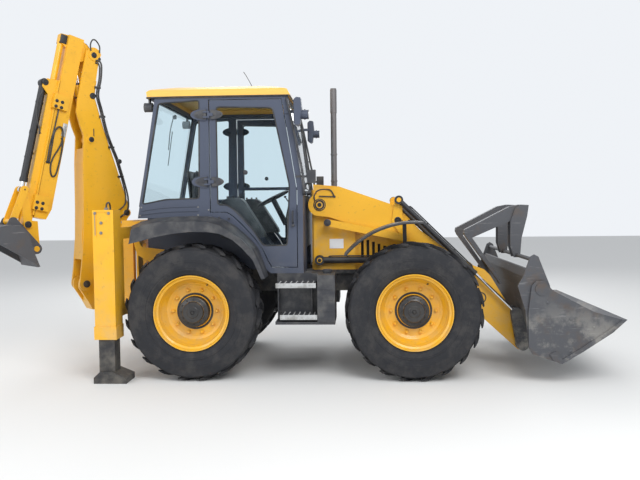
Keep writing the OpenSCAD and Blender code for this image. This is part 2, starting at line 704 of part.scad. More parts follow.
fork_shaft = [3365, 1205];
fork_pivot = [3420, 1690];
fork_pin_r = 24;
fork_y = 330;
fork_half = 50;
hanger_shape = [[3330, 1180], [3294, 1300], [3293, 1560], [3340, 1700], [3400, 1742], [3486, 1737], [3470, 1620], [3412, 1389], [3396, 1180]];
lug_shape = concat(arc(shovel_pin, 62, 200, 330, 8), [[3470, 420], [3420, 700]], arc(tilt_eye, 58, 30, 180, 8));

module shovel_back() {
  color("#4a4c4f") placed() {
    plate(concat(board_rear, board_front), -shovel_half + 45, shovel_half - 45);
    cross_bar(fork_shaft, 20, -shovel_half + 45, shovel_half - 45);
    both_sides() {
      for (y = [arm_in - 36, arm_in + arm_w + 12])
        difference() {
          plate(lug_shape, y, y + shovel_lug_w);
          cross_bar(shovel_pin, shovel_pin_r + pin_gap, y - 1, y + shovel_lug_w + 1);
        }
      plate(lug_shape, tilt_y + 20, tilt_y + 20 + shovel_lug_w);
      plate(end_shape, shovel_half - 66, shovel_half - 44);
      cross_bar(clam_pivot, clam_pin_r, shovel_half - 45, shovel_half - 4);
      for (y = [fork_y - fork_half - 24, fork_y + fork_half + 6])
        plate(hanger_shape, y, y + 18);
      cross_bar(fork_pivot, fork_pin_r, fork_y - fork_half - 24, fork_y + fork_half + 24);
    }
  }
}

module shovel_clam() {
  color("#4a4c4f") placed() {
    both_sides() difference() {
      union() {
        plate(clam_shape, shovel_half - 38, shovel_half - 12);
        cross_bar(clam_pivot, 60, shovel_half - 38, shovel_half - 4);
      }
      cross_bar(clam_pivot, clam_pin_r + pin_gap, shovel_half - 40, shovel_half);
    }
    plate(clam_floor, -shovel_half, shovel_half);
  }
}

module pallet_forks() {
  color("#3c3d40") placed() both_sides() translate([0, fork_y, 0]) difference() {
    union() {
      cross_bar(fork_pivot, 50, -fork_half, fork_half);
      plate([[3450, 1733], [3400, 1742], [3290, 1722], [2815, 1478], [2808, 1440], [2829, 1394], [2893, 1390], [3293, 1566], [3440, 1644]], -fork_half, fork_half);
      plate([[2829, 1396], [3150, 955], [3190, 888], [3200, 896], [3176, 975], [2893, 1392]], -fork_half, fork_half);
    }
    cross_bar(fork_pivot, fork_pin_r + pin_gap, -fork_half - 1, fork_half + 1);
  }
}

// backhoe, drawn in its own plane: X outwards from the slew axis

module carried() {
  placed() translate([-slew_back, 0, 0]) children();
}

module slewed() {
  carried() rotate([0, 0, 180 + slew_rest]) children();
}

slew_pin_r = 42;
lug_low = [540, 600];
lug_top = [800, 860];
cheek_w = 25;
cheek_in = boom_half - cheek_w;
post_half = cheek_in - side_gap;
boom_foot = [330, 905];
boom_pin_r = 36;
ram_foot = [35, 957];
boom_eye = [-171, 1695];
nose_pin = [177, 3455];
crowd_foot = [232, 2517];
dipper_lean = 12.5;

module side_carriage() {
  color("#eeb111") carried() {
    back = slew_back + rear_rail_x0;
    difference() {
      union() {
        block(back - 130, back - 8, -290, 290, 560, 1610);
        for (z = [lug_low, lug_top]) {
          block(0, back - 100, -85, 85, z[0], z[1]);
          translate([0, 0, z[0]]) cylinder(r = 85, h = z[1] - z[0]);
        }
        block(back - 20, back + 82, -290, 290, rail_top[1] + 8, rail_top[1] + 50);
        block(back - 20, back + 82, -290, 290, rail_low[0] - 50, rail_low[0] - 8);
        for (y = [-250, 250], z = [rail_low, rail_top])
          block(back - 9, back - seat_gap, y - 35, y + 35, z[0] + 30, z[1] - 30);
        for (y = [-250, 250]) {
          block(back + 10, back + 60, y - 35, y + 35, rail_top[1] + seat_gap, rail_top[1] + 9);
          block(back + 10, back + 60, y - 35, y + 35, rail_low[0] - 9, rail_low[0] - seat_gap);
        }
      }
      block(back - 140, back, -200, 200, 880, 1330);
      for (z = [lug_low, lug_top])
        translate([0, 0, z[0] - 1]) cylinder(r = slew_pin_r + pin_gap, h = z[1] - z[0] + 2);
    }
  }
}

module kingpost() {
  color("#eeb111") slewed() {
    translate([0, 0, lug_low[0] - 14]) cylinder(r = slew_pin_r, h = lug_top[1] - lug_low[0] + 20);
    translate([0, 0, lug_low[0] - 26]) cylinder(r = slew_pin_r + 20, h = 14);
    translate([0, 0, lug_low[1] + 5]) cylinder(r = 80, h = lug_top[0] - lug_low[1] - 10);
    plate([[0, 606], [250, 606], [300, 700], [300, 794], [0, 794]], -post_half, post_half);
    both_sides() {
      difference() {
        plate([[92, 700], [300, 700], [400, 860], [405, 905], [390, 960], [340, 985], [90, 1020], [20, 1022], [-25, 990], [-25, 866], [92, 866]], post_half - 26, post_half);
        cross_bar(ram_foot, 24, post_half - 27, post_half + 1);
      }
      cross_bar(boom_foot, boom_pin_r, post_half - 1, boom_half + 6);
    }
    cross_bar(ram_foot, 28, -post_half + 1, post_half - 1);
  }
}

boom_front = [[130, 1180], [-6, 1350], [-96, 1430], [-165, 1600], [-205, 1660], [-200, 1760], [-60, 2190], [95, 2660], [190, 3000], [118, 3410]];
boom_rear = [[245, 3560], [375, 2960], [398, 2815], [355, 2660], [318, 2560], [335, 2259], [340, 1750], [350, 1418], [380, 1100]];
boom_shape = concat(boom_front, arc(nose_pin, 88, 170, 20, 8), boom_rear, arc(boom_foot, 78, 20, -200, 12));

module boom() {
  color("#eeb111") slewed() {
    both_sides() difference() {
      plate(boom_shape, cheek_in, boom_half);
      cross_bar(boom_foot, boom_pin_r + pin_gap, cheek_in - 1, boom_half + 1);
      cross_bar(nose_pin, dipper_pin_r - 1, cheek_in - 1, boom_half - 3);
    }
    cross_bar(nose_pin, dipper_pin_r, -boom_half - 4, boom_half + 4);
    cross_bar(crowd_foot, crowd_pin_r, -boom_half - 4, boom_half + 4);
    plate([[350, 1180], [322, 1750], [318, 2259], [300, 2420], [318, 2420], [336, 2259], [340, 1750], [368, 1180]], -cheek_in - 1, cheek_in + 1);
    plate([[-200, 1760], [-60, 2190], [95, 2660], [190, 3000], [160, 3180], [142, 3176], [172, 3000], [78, 2664], [-77, 2196], [-217, 1764]], -cheek_in - 1, cheek_in + 1);
    both_sides() {
      cross_bar(boom_eye, 50, 36, boom_half + 6);
      cross_bar(nose_pin, 60, boom_half - 1, boom_half + 8);
      cross_bar(crowd_foot, 46, boom_half - 1, boom_half + 8);
    }
  }
}

boom_ram_len = far(ram_foot, boom_eye);

module boom_barrel() {
  color("#eeb111") slewed() along(ram_foot, boom_eye) ram_barrel(50, 28, 28, 60, 600);
}

module boom_rod() {
  color("#c9ccd0") slewed() along(ram_foot, boom_eye) ram_rod(28, 48, 56, 90, boom_ram_len);
}

// dipper frame: origin at the nose pin, X outwards from the boom, Z up along the dipper
module in_dipper() {
  slewed() translate([nose_pin[0], 0, nose_pin[1]]) rotate([0, -dipper_lean, 0]) children();
}

dipper_pin_r = 34;
crowd_pin_r = 28;
crowd_eye = [140, -195];
crowd_eye_world = nose_pin + [crowd_eye[0] * cos(dipper_lean) - crowd_eye[1] * sin(dipper_lean), crowd_eye[0] * sin(dipper_lean) + crowd_eye[1] * cos(dipper_lean)];
crowd_len = far(crowd_foot, crowd_eye_world);
dipper_in = 122;
dipper_out = 290;
dipper_half = 80;
dipper_low = -1900;
slide_in = dipper_out + 8;
slide_out = slide_in + 88;
slide_half = 62;
claw_half = 118;

module dipper() {
  color("#eeb111") in_dipper() {
    difference() {
      union() {
        plate([[dipper_in, 140], [dipper_out, 140], [dipper_out, dipper_low], [dipper_in + 40, dipper_low], [dipper_in, dipper_low + 120]], -dipper_half, dipper_half);
        both_sides() plate(concat(arc([0, 0], 48, 260, 110, 8), [[dipper_in + 2, 130], [dipper_in + 2, -110]]), 36, 60);
        cross_bar([0, 0], 48, -60, 60);
        both_sides() for (w = [-700, -1820]) {
          block(dipper_out - 120, slide_in + 34, claw_half - 22, claw_half, w, w + 160);
          block(dipper_out - 120, dipper_out - 1, dipper_half - 1, claw_half, w, w + 160);
          block(slide_in + 22, slide_in + 34, slide_half + 6, claw_half, w, w + 160);
        }
        plate([[dipper_out - 2, 140], [dipper_out + 80, 130], [dipper_out + 80, 40], [dipper_out - 2, 0]], -45, 45);
        translate([slide_in + 44, 0, -1300]) cylinder(r = 33, h = 1380);
      }
      plate([[dipper_in - 1, 60], [dipper_in + 75, 60], [dipper_in + 75, -420], [dipper_in - 1, -420]], -36, 36);
      cross_bar([0, 0], dipper_pin_r + pin_gap, -61, 61);
      translate([slide_in + 44, 0, -1301]) cylinder(r = 20 + pin_gap, h = 1256);
    }
  }
}

module inner_dipper() {
  color("#eeb111") in_dipper() {
    difference() {
      union() {
        block(slide_in, slide_out, -slide_half, slide_half, -2000, -390);
        block(slide_in, slide_in + 16, -claw_half + 28, claw_half - 28, -1880, -390);
        plate(concat([[slide_in, -1940], [slide_out, -1940], [slide_out - 6, -1975]], arc(bucket_pin, 56, -10, -190, 8), [[slide_in - 60, -1935]]), -slide_half, slide_half);
        both_sides() plate([[slide_out - 2, -400], [slide_out + 36, -400], [slide_out + 74, -430], [slide_out + 74, -500], [slide_out - 2, -570]], 45, slide_half - 1);
        cross_bar(bucket_ram_foot, 24, -slide_half + 2, slide_half - 2);
        cross_bar(tip_lever_pin, 26, -slide_half - 24, slide_half + 24);
        cross_bar(bucket_pin, bucket_pin_r, -130, 130);
        translate([slide_in + 44, 0, -1360]) cylinder(r = 20, h = 1300);
      }
      difference() {
        translate([slide_in + 44, 0, -1320]) cylinder(r = 39, h = 940);
        translate([slide_in + 44, 0, -1340]) cylinder(r = 20, h = 1000);
      }
    }
  }
}

bucket_pin = [215, -2230];
bucket_pin_r = 30;
bucket_ram_foot = [slide_out + 52, -450];
tip_lever_pin = [slide_in + 40, -1990];
tip_eye = [445, -1635];
ear_pin = [504, -1990];
bucket_ram_len = far(bucket_ram_foot, tip_eye);

module crowd_barrel() {
  color("#eeb111") slewed() along(crowd_foot, crowd_eye_world) ram_barrel(44, 26, crowd_pin_r, 60, 630);
}

module crowd_rod() {
  color("#c9ccd0") slewed() along(crowd_foot, crowd_eye_world) ram_rod(26, 40, 54, 90, crowd_len);
}

module bucket_barrel() {
  color("#202124") in_dipper() along(bucket_ram_foot, tip_eye) ram_barrel(38, 22, 24, 84, 1090);
}

module bucket_rod() {
  color("#c9ccd0") in_dipper() along(bucket_ram_foot, tip_eye) ram_rod(22, 38, 48, 110, bucket_ram_len);
}

module tipping_lever() {
  color("#eeb111") in_dipper() both_sides() difference() {
    plate(concat(arc(tip_lever_pin, 44, 160, 340, 8), arc(tip_eye, 40, -20, 160, 8)), slide_half + 5, slide_half + 19);
    cross_bar(tip_lever_pin, 26 + pin_gap, slide_half, slide_half + 25);
    cross_bar(tip_eye, 22 + pin_gap, slide_half, slide_half + 25);
  }
}

module tipping_link() {
  color("#eeb111") in_dipper() {
    both_sides() {
      plate(concat(arc(tip_eye, 40, 10, 190, 8), arc(ear_pin, 36, 190, 370, 8)), slide_half + 24, slide_half + 38);
      cross_bar(tip_eye, 22, slide_half + 2, slide_half + 30);
    }
    cross_bar(ear_pin, 30, -slide_half - 37, slide_half + 37);
  }
}

// bucket outline in the dipper frame, with the mouth between the tip and the heel lip
bucket_back = [[190, -2410], [292, -2250], [364, -2098], [440, -2042], [560, -2034], [672, -2082], [765, -2205]];
bucket_front = [[748, -2216], [656, -2100], [552, -2057], [450, -2064], [384, -2112], [313, -2260], [212, -2420]];

module digger_bucket() {
  color("#38393c") in_dipper() {
    plate(concat(bucket_back, bucket_front), -bucket_half, bucket_half);
    both_sides() {
      plate(bucket_back, bucket_half - 16, bucket_half);
      difference() {
        plate(concat(arc(bucket_pin, 56, 270, 130, 8), arc(ear_pin, 46, 150, 0, 6), [[566, -2045], [436, -2052], [370, -2106], [300, -2262], [255, -2310]]), 104, 126);
        cross_bar(bucket_pin, bucket_pin_r + pin_gap, 100, 130);
      }
    }
    for (i = [-2:2])
      translate([0, i * (bucket_half - 50) / 2, 0]) plate([[742, -2200], [768, -2188], [815, -2275], [752, -2226]], -26, 26);
  }
}

module knuckle_front_left() { knuckle_at(wheelbase, true); }
module knuckle_front_right() { knuckle_at(wheelbase, false); }
module knuckle_rear_left() { knuckle_at(0, true); }
module knuckle_rear_right() { knuckle_at(0, false); }
module mudguard_left() { mudguard_at(true); }
module mudguard_right() { mudguard_at(false); }
module rim_front_left() { rim_at(wheelbase, true); }
module rim_front_right() { rim_at(wheelbase, false); }
module rim_rear_left() { rim_at(0, true); }
module rim_rear_right() { rim_at(0, false); }
module tyre_front_left() { tyre_at(wheelbase, true); }
module tyre_front_right() { tyre_at(wheelbase, false); }
module tyre_rear_left() { tyre_at(0, true); }
module tyre_rear_right() { tyre_at(0, false); }
module door_left() { door_at(true); }
module door_right() { door_at(false); }
module door_glass_left() { door_glass_at(true); }
module door_glass_right() { door_glass_at(false); }
module leg_left() { leg_at(true); }
module leg_right() { leg_at(false); }

chassis_frame();
rear_frame();
engine_block();
hood();
nose_grille();
cab_frame();
cab_roof();
cab_glass();
rear_fenders();
side_tanks();
driver_seat();
driver_controls();
work_lamps();
exhaust_stack();
axle_beams();
knuckle_front_left();
knuckle_front_right();
knuckle_rear_left();
knuckle_rear_right();
mudguard_left();
mudguard_right();
rim_front_left();
rim_front_right();
rim_rear_left();
rim_rear_right();
tyre_front_left();
tyre_front_right();
tyre_rear_left();
tyre_rear_right();
door_left();
door_right();
door_glass_left();
door_glass_right();
leg_left();
leg_right();
loader_arms();
tilt_levers();
levelling_links();
lift_barrels();
lift_rods();
tilt_barrels();
tilt_rods();
shovel_pins();
shovel_back();
shovel_clam();
pallet_forks();
side_carriage();
kingpost();
boom();
boom_barrel();
boom_rod();
dipper();
crowd_barrel();
crowd_rod();
inner_dipper();
bucket_barrel();
bucket_rod();
tipping_lever();
tipping_link();
digger_bucket();
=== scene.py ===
import json
import math
import bmesh
import bpy
from mathutils import Matrix, Vector


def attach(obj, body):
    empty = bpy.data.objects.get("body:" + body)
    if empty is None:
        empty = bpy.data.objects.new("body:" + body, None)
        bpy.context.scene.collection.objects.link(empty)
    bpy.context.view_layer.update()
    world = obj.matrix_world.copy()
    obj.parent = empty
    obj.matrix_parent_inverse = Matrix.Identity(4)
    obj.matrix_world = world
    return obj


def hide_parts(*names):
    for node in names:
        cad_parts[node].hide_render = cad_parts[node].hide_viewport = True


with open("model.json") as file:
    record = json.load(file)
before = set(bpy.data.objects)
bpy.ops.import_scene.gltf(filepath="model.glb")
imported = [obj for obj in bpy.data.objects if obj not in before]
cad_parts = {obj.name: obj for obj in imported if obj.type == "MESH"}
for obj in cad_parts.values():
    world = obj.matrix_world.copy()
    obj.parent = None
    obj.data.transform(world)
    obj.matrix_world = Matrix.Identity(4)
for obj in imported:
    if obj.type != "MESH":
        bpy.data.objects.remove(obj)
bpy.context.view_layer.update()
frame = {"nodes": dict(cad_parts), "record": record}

# camera of the photograph: place in metres, angles in radians, focal length in pixels
IMAGE_W = 640
CAMERA_AT = Vector((0.766, -7.990, 1.749))
CAMERA_YAW = 0.0545
CAMERA_PITCH = 0.0484
CAMERA_ROLL = -0.0106
FOCAL_PX = 702
SENSOR_MM = 36.0

# studio: each lamp's place, aim, size in metres and power in watts
LAMPS = {
    "key": ((3.5, -7.5, 7.5), (0, 0, 1.2), 5.0, 620),
    "fill": ((-6.5, -6.0, 4.5), (-0.5, 0, 1.2), 6.0, 260),
    "rim": ((0, 7.5, 6.5), (0, 0, 1.2), 6.0, 330),
}
SKY = (0.93, 0.96, 1.0, 1)
SKY_AS_LIGHT = 0.62
SKY_IN_SIGHT = 0.93
FLOOR_SIZE = 60

# colours that several materials share
YELLOW = (0.83, 0.43, 0.012)
DUST = (0.42, 0.38, 0.31)
SPECK = (0.10, 0.08, 0.06)
RAIL_BLACK = (0.022, 0.023, 0.028)

# frames of the CAD: millimetres from the rear axle, in the machine and in the slewed backhoe
MM = 0.001
REAR_AXLE_X = -905
WHEELBASE = 2220
AXLE_Z = 690
WHEEL_Y = 920
RAIL_TOP = 1062
CAB_HALF = 850
ARM_OUT = 505
SLEW_BACK = 1220
SLEW_REST = 45
NOSE_PIN = (177, 3455)
DIPPER_LEAN = 12.5
BOOM_HALF = 120
DIPPER_HALF = 80
SLIDE_OUT = 386
SIDES = (("left", 1), ("right", -1))
UP = (0, 0, 1)

MACHINE = Matrix.Scale(MM, 4) @ Matrix.Translation((REAR_AXLE_X, 0, 0))
SWUNG = (
    MACHINE @ Matrix.Translation((-SLEW_BACK, 0, 0))
    @ Matrix.Rotation(math.radians(180 + SLEW_REST), 4, "Z")
)
DIPPER = (
    SWUNG @ Matrix.Translation((NOSE_PIN[0], 0, NOSE_PIN[1]))
    @ Matrix.Rotation(math.radians(-DIPPER_LEAN), 4, "Y")
)


def make_camera():
    ahead = Vector((-math.sin(CAMERA_YAW), math.cos(CAMERA_YAW), 0))
    right = Vector((math.cos(CAMERA_YAW), math.sin(CAMERA_YAW), 0))
    up = Vector(UP)
    view_dir = ahead * math.cos(CAMERA_PITCH) - up * math.sin(CAMERA_PITCH)
    view_up = ahead * math.sin(CAMERA_PITCH) + up * math.cos(CAMERA_PITCH)
    side = right * math.cos(CAMERA_ROLL) + view_up * math.sin(CAMERA_ROLL)
    top = view_up * math.cos(CAMERA_ROLL) - right * math.sin(CAMERA_ROLL)
    data = bpy.data.cameras.new("camera")
    data.sensor_width = SENSOR_MM
    data.lens = FOCAL_PX / IMAGE_W * SENSOR_MM
    data.clip_end = 200
    cam = bpy.data.objects.new("camera", data)
    cam.matrix_world = Matrix((
        (side.x, top.x, -view_dir.x, CAMERA_AT.x),
        (side.y, top.y, -view_dir.y, CAMERA_AT.y),
        (side.z, top.z, -view_dir.z, CAMERA_AT.z),
        (0, 0, 0, 1),
    ))
    bpy.context.scene.collection.objects.link(cam)
    bpy.context.scene.camera = cam


def add_lamp(name, place, aim, size, power):
    data = bpy.data.lights.new(name, "AREA")
    data.size = size
    data.energy = power
    lamp = bpy.data.objects.new(name, data)
    lamp.location = place
    lamp.rotation_euler = (Vector(aim) - Vector(place)).to_track_quat("-Z", "Y").to_euler()
    bpy.context.scene.collection.objects.link(lamp)


def make_studio():
    """Pale floor and sky. The sky is brighter in sight, in reflections and through glass than as light."""
    scene = bpy.context.scene
    scene.view_settings.view_transform = "Standard"
    world = bpy.data.worlds.new("world")
    world.use_nodes = True
    nodes, links = world.node_tree.nodes, world.node_tree.links
    nodes.clear()
    path = nodes.new("ShaderNodeLightPath")
    seen = nodes.new("ShaderNodeMath")
    seen.operation = "MAXIMUM"
    clear = nodes.new("ShaderNodeMath")
    clear.operation = "MAXIMUM"
    strength = nodes.new("ShaderNodeMapRange")
    strength.inputs["To Min"].default_value = SKY_AS_LIGHT
    strength.inputs["To Max"].default_value = SKY_IN_SIGHT
    back = nodes.new("ShaderNodeBackground")
    back.inputs["Color"].default_value = SKY
    out = nodes.new("ShaderNodeOutputWorld")
    links.new(path.outputs["Is Camera Ray"], seen.inputs[0])
    links.new(path.outputs["Is Glossy Ray"], seen.inputs[1])
    links.new(seen.outputs[0], clear.inputs[0])
    links.new(path.outputs["Is Transmission Ray"], clear.inputs[1])
    links.new(clear.outputs[0], strength.inputs["Value"])
    links.new(strength.outputs["Result"], back.inputs["Strength"])
    links.new(back.outputs[0], out.inputs["Surface"])
    scene.world = world
    for name, settings in LAMPS.items():
        add_lamp(name, *settings)
    bpy.ops.mesh.primitive_plane_add(size=FLOOR_SIZE, location=(0, 0, 0))
    floor = bpy.context.object
    floor.name = "studio_floor"
    floor.data.materials.append(plain("floor_pale", (0.80, 0.80, 0.79), 0.9))


# materials

def shader(name, values):
    """New material, its node tree, and its shader with the values set."""
    mat = bpy.data.materials.new(name)
    mat.use_nodes = True
    bsdf = mat.node_tree.nodes["Principled BSDF"]
    for key, value in values.items():
        bsdf.inputs[key].default_value = (*value, 1) if isinstance(value, tuple) else value
    return mat, mat.node_tree, bsdf


def plain(name, color, rough, metallic=0.0):
    return shader(name, {"Base Color": color, "Roughness": rough, "Metallic": metallic})[0]


def noise(tree, scale, detail, rough=0.6, stretch=(1, 1, 1)):
    """Noise value in the object's own place, which is the row frame at rest."""
    nodes, links = tree.nodes, tree.links
    coord = nodes.new("ShaderNodeTexCoord")
    mapping = nodes.new("ShaderNodeMapping")
    mapping.inputs["Scale"].default_value = stretch
    tex = nodes.new("ShaderNodeTexNoise")
    tex.inputs["Scale"].default_value = scale
    tex.inputs["Detail"].default_value = detail
    tex.inputs["Roughness"].default_value = rough
    links.new(coord.outputs["Object"], mapping.inputs["Vector"])
    links.new(mapping.outputs["Vector"], tex.inputs["Vector"])
    return tex.outputs["Fac"]


def ramp(tree, value, low, high):
    """Value from 0 at low to 1 at high."""
    node = tree.nodes.new("ShaderNodeMapRange")
    node.interpolation_type = "SMOOTHSTEP"
    node.inputs["From Min"].default_value = low
    node.inputs["From Max"].default_value = high
    tree.links.new(value, node.inputs["Value"])
    return node.outputs["Result"]


def times(tree, a, b):
    node = tree.nodes.new("ShaderNodeMath")
    node.operation = "MULTIPLY"
    tree.links.new(a, node.inputs[0])
    if isinstance(b, float):
        node.inputs[1].default_value = b
    else:
        tree.links.new(b, node.inputs[1])
    return node.outputs[0]


def blended(tree, color, over, mask):
    """Colour over laid on color where mask is 1."""
    node = tree.nodes.new("ShaderNodeMix")
    node.data_type = "RGBA"
    tree.links.new(mask, node.inputs["Factor"])
    for side, value in (("A", color), ("B", over)):
        socket = [i for i in node.inputs if i.name == side and i.type == "RGBA"][0]
        if isinstance(value, tuple):
            socket.default_value = (*value, 1)
        else:
            tree.links.new(value, socket)
    return [o for o in node.outputs if o.type == "RGBA"][0]


def low_down(tree, top, bottom):
    """1 at height bottom and below, 0 at height top and above."""
    nodes, links = tree.nodes, tree.links
    coord = nodes.new("ShaderNodeTexCoord")
    split = nodes.new("ShaderNodeSeparateXYZ")
    links.new(coord.outputs["Object"], split.inputs[0])
    return ramp(tree, split.outputs["Z"], top, bottom)


def colored(tree, bsdf, value):
    tree.links.new(value, bsdf.inputs["Base Color"])


def bumped(tree, bsdf, value, strength, distance):
    node = tree.nodes.new("ShaderNodeBump")
    node.inputs["Strength"].default_value = strength
    node.inputs["Distance"].default_value = distance
    tree.links.new(value, node.inputs["Height"])
    tree.links.new(node.outputs["Normal"], bsdf.inputs["Normal"])


def patched(tree, color, worn):
    """Colour with darker patches of wear."""
    patches = times(tree, ramp(tree, noise(tree, 3.5, 6), 0.52, 0.72), worn)
    return blended(tree, color, tuple(c * 0.55 for c in color), patches)


def paint(name, color, rough, worn, dusty, coat=0.0):
    """Paint with darker wear patches and dust that gathers low down."""
    mat, tree, bsdf = shader(name, {"Roughness": rough, "Coat Weight": coat})
    mixed = patched(tree, color, worn)
    specks = times(tree, ramp(tree, noise(tree, 26, 3), 0.62, 0.70), worn * 0.9)
    mixed = blended(tree, mixed, SPECK, specks)
    veil = times(tree, low_down(tree, 1.7, 0.1), ramp(tree, noise(tree, 7, 5), 0.30, 0.75))
    mixed = blended(tree, mixed, DUST, times(tree, veil, dusty))
    colored(tree, bsdf, mixed)
    bumped(tree, bsdf, noise(tree, 60, 2), 0.05, 0.002)
    return mat


def worn_steel():
    """Dark steel with rust, bright scratches and soil that sticks low down."""
    mat, tree, bsdf = shader("worn_steel", {"Metallic": 0.35, "Roughness": 0.58})
    rust = ramp(tree, noise(tree, 5, 8), 0.50, 0.72)
    soil = ramp(tree, noise(tree, 2.6, 8, 0.7), 0.48, 0.62)
    scratch = ramp(tree, noise(tree, 9, 4, 0.6, (0.5, 0.5, 6)), 0.60, 0.72)
    mixed = blended(tree, (0.085, 0.088, 0.098), (0.12, 0.085, 0.06), times(tree, rust, 0.55))
    mixed = blended(tree, mixed, (0.34, 0.34, 0.34), times(tree, scratch, 0.35))
    low_soil = times(tree, soil, times(tree, low_down(tree, 0.95, 0.2), 0.7))
    mixed = blended(tree, mixed, (0.40, 0.38, 0.34), low_soil)
    colored(tree, bsdf, mixed)
    bumped(tree, bsdf, noise(tree, 22, 6), 0.25, 0.004)
    return mat


def tyre_rubber():
    mat, tree, bsdf = shader("tyre_rubber", {"Roughness": 0.82})
    soil = ramp(tree, noise(tree, 6, 7, 0.7), 0.42, 0.68)
    mixed = blended(tree, (0.014, 0.015, 0.019), (0.11, 0.10, 0.09), times(tree, soil, 0.24))
    colored(tree, bsdf, mixed)
    bumped(tree, bsdf, noise(tree, 30, 5), 0.25, 0.003)
    return mat


def plastic(name, color, rough, dusty):
    mat, tree, bsdf = shader(name, {"Roughness": rough})
    veil = times(tree, ramp(tree, noise(tree, 8, 6), 0.38, 0.70), dusty)
    colored(tree, bsdf, blended(tree, color, (0.25, 0.24, 0.22), veil))
    bumped(tree, bsdf, noise(tree, 180, 2), 0.10, 0.001)
    return mat


def glazing():
    clear = {"Base Color": (0.82, 0.91, 0.94), "Roughness": 0.03, "IOR": 1.12, "Transmission Weight": 1.0}
    return shader("cab_glazing", clear)[0]


def lens(name, color):
    """Moulded lamp lens with fine ribs."""
    mat, tree, bsdf = shader(name, {"Base Color": color, "Roughness": 0.12, "Coat Weight": 0.6})
    bumped(tree, bsdf, noise(tree, 40, 1, 0.5, (1, 9, 1)), 0.3, 0.002)
    return mat


def two_tone(name, split):
    """Black paint below the height split and yellow paint above it."""
    mat, tree, bsdf = shader(name, {"Roughness": 0.5})
    mixed = patched(tree, YELLOW, 0.25)
    mixed = blended(tree, mixed, RAIL_BLACK, low_down(tree, split + 0.001, split - 0.001))
    veil = times(tree, ramp(tree, noise(tree, 7, 5), 0.35, 0.75), 0.3)
    mixed = blended(tree, mixed, DUST, veil)
    colored(tree, bsdf, mixed)
    bumped(tree, bsdf, noise(tree, 60, 2), 0.05, 0.002)
    return mat


def cloth():
    mat, tree, bsdf = shader("seat_cloth", {"Roughness": 0.95, "Sheen Weight": 0.3})
    weave = blended(tree, (0.045, 0.046, 0.052), (0.10, 0.10, 0.11), noise(tree, 240, 2))
    colored(tree, bsdf, weave)
    return mat


def galvanised():
    mat, tree, bsdf = shader("galvanised", {"Metallic": 0.6, "Roughness": 0.5})
    spangle = ramp(tree, noise(tree, 14, 5), 0.4, 0.65)
    mixed = blended(tree, (0.50, 0.51, 0.51), (0.33, 0.33, 0.32), spangle)
    colored(tree, bsdf, mixed)
    return mat


# colour, roughness, wear, dust and clear coat
PAINTS = {
    "yellow_paint": (YELLOW, 0.40, 0.22, 0.35, 0.2),
    "roof_paint": ((0.84, 0.49, 0.10), 0.45, 0.06, 0.0),
    "slate_paint": ((0.055, 0.068, 0.105), 0.45, 0.10, 0.25),
    "black_paint": ((0.016, 0.017, 0.021), 0.5, 0.10, 0.30),
    "hub_black": ((0.010, 0.010, 0.012), 0.42, 0.04, 0.10, 0.2),
    "label_white": ((0.80, 0.81, 0.82), 0.5, 0.05, 0.1),
}
# colour, roughness and dust
PLASTICS = {
    "black_plastic": ((0.028, 0.030, 0.037), 0.50, 0.25),
    "hose_rubber": ((0.018, 0.018, 0.020), 0.55, 0.2),
    "bolt_steel": ((0.20, 0.20, 0.20), 0.45, 0.4),
    "knob_red": ((0.42, 0.03, 0.02), 0.4, 0.1),
}
# colour, roughness and share of metal
CLEAN_METALS = {
    "chrome_rod": ((0.72, 0.73, 0.75), 0.14, 1.0),
    "exhaust_steel": ((0.16, 0.15, 0.15), 0.55, 0.6),
    "engine_iron": ((0.09, 0.09, 0.09), 0.7, 0.2),
    "mirror_glass": ((0.80, 0.84, 0.88), 0.04, 1.0),
}
LENSES = {
    "lens_clear": (0.80, 0.84, 0.88),
    "lens_amber": (0.90, 0.34, 0.03),
    "lens_red": (0.62, 0.03, 0.02),
}

FINISH = {
    "worn_steel": worn_steel(),
    "tyre_rubber": tyre_rubber(),
    "cab_glazing": glazing(),
    "seat_cloth": cloth(),
    "galvanised": galvanised(),
    **{name: paint(name, *look) for name, look in PAINTS.items()},
    **{name: plastic(name, *look) for name, look in PLASTICS.items()},
    **{name: plain(name, *look) for name, look in CLEAN_METALS.items()},
    **{name: lens(name, color) for name, color in LENSES.items()},
}


# mesh building, in millimetres of one of the frames above

def shell(bm, rings, closed=False):
    """Skin over rings of points with equal counts."""
    rows = [[bm.verts.new(p) for p in loop] for loop in rings]
    count = len(rows[0])
    pairs = list(zip(rows, rows[1:]))
    if closed:
        pairs.append((rows[-1], rows[0]))
    for low, high in pairs:
        for i in range(count):
            j = (i + 1) % count
            bm.faces.new((low[i], low[j], high[j], high[i]))
    if not closed:
        bm.faces.new(list(reversed(rows[0])))
        bm.faces.new(rows[-1])


def facing(axis):
    """Rotation that turns Z to the axis."""
    return Vector(axis).to_track_quat("Z", "Y").to_matrix()


def turned(bm, profile, place, axis, steps, hollow=False):
    """Solid of revolution: profile is (radius, height) from the foot up, or a closed loop if hollow."""
    turn = facing(axis)
    centre = Vector(place)
    rings = []
    for radius, height in profile:
        loop = []
        for i in range(steps):
            a = 2 * math.pi * i / steps
            loop.append(centre + turn @ Vector((radius * math.cos(a), radius * math.sin(a), height)))
        rings.append(loop)
    shell(bm, rings, closed=hollow)


def ring(bm, inner, outer, low, high, place, axis, steps=28):
    """Flat collar between two radii and two heights."""
    turned(bm, [(inner, low), (outer, low), (outer, high), (inner, high)], place, axis, steps, hollow=True)


def band(bm, radius, half, place, axis):
    """Clamp band 3 mm thick on a round barrel."""
    loop = [(radius, -half), (radius + 3, 1 - half), (radius + 3, half - 1), (radius, half)]
    turned(bm, loop, place, axis, 28, hollow=True)


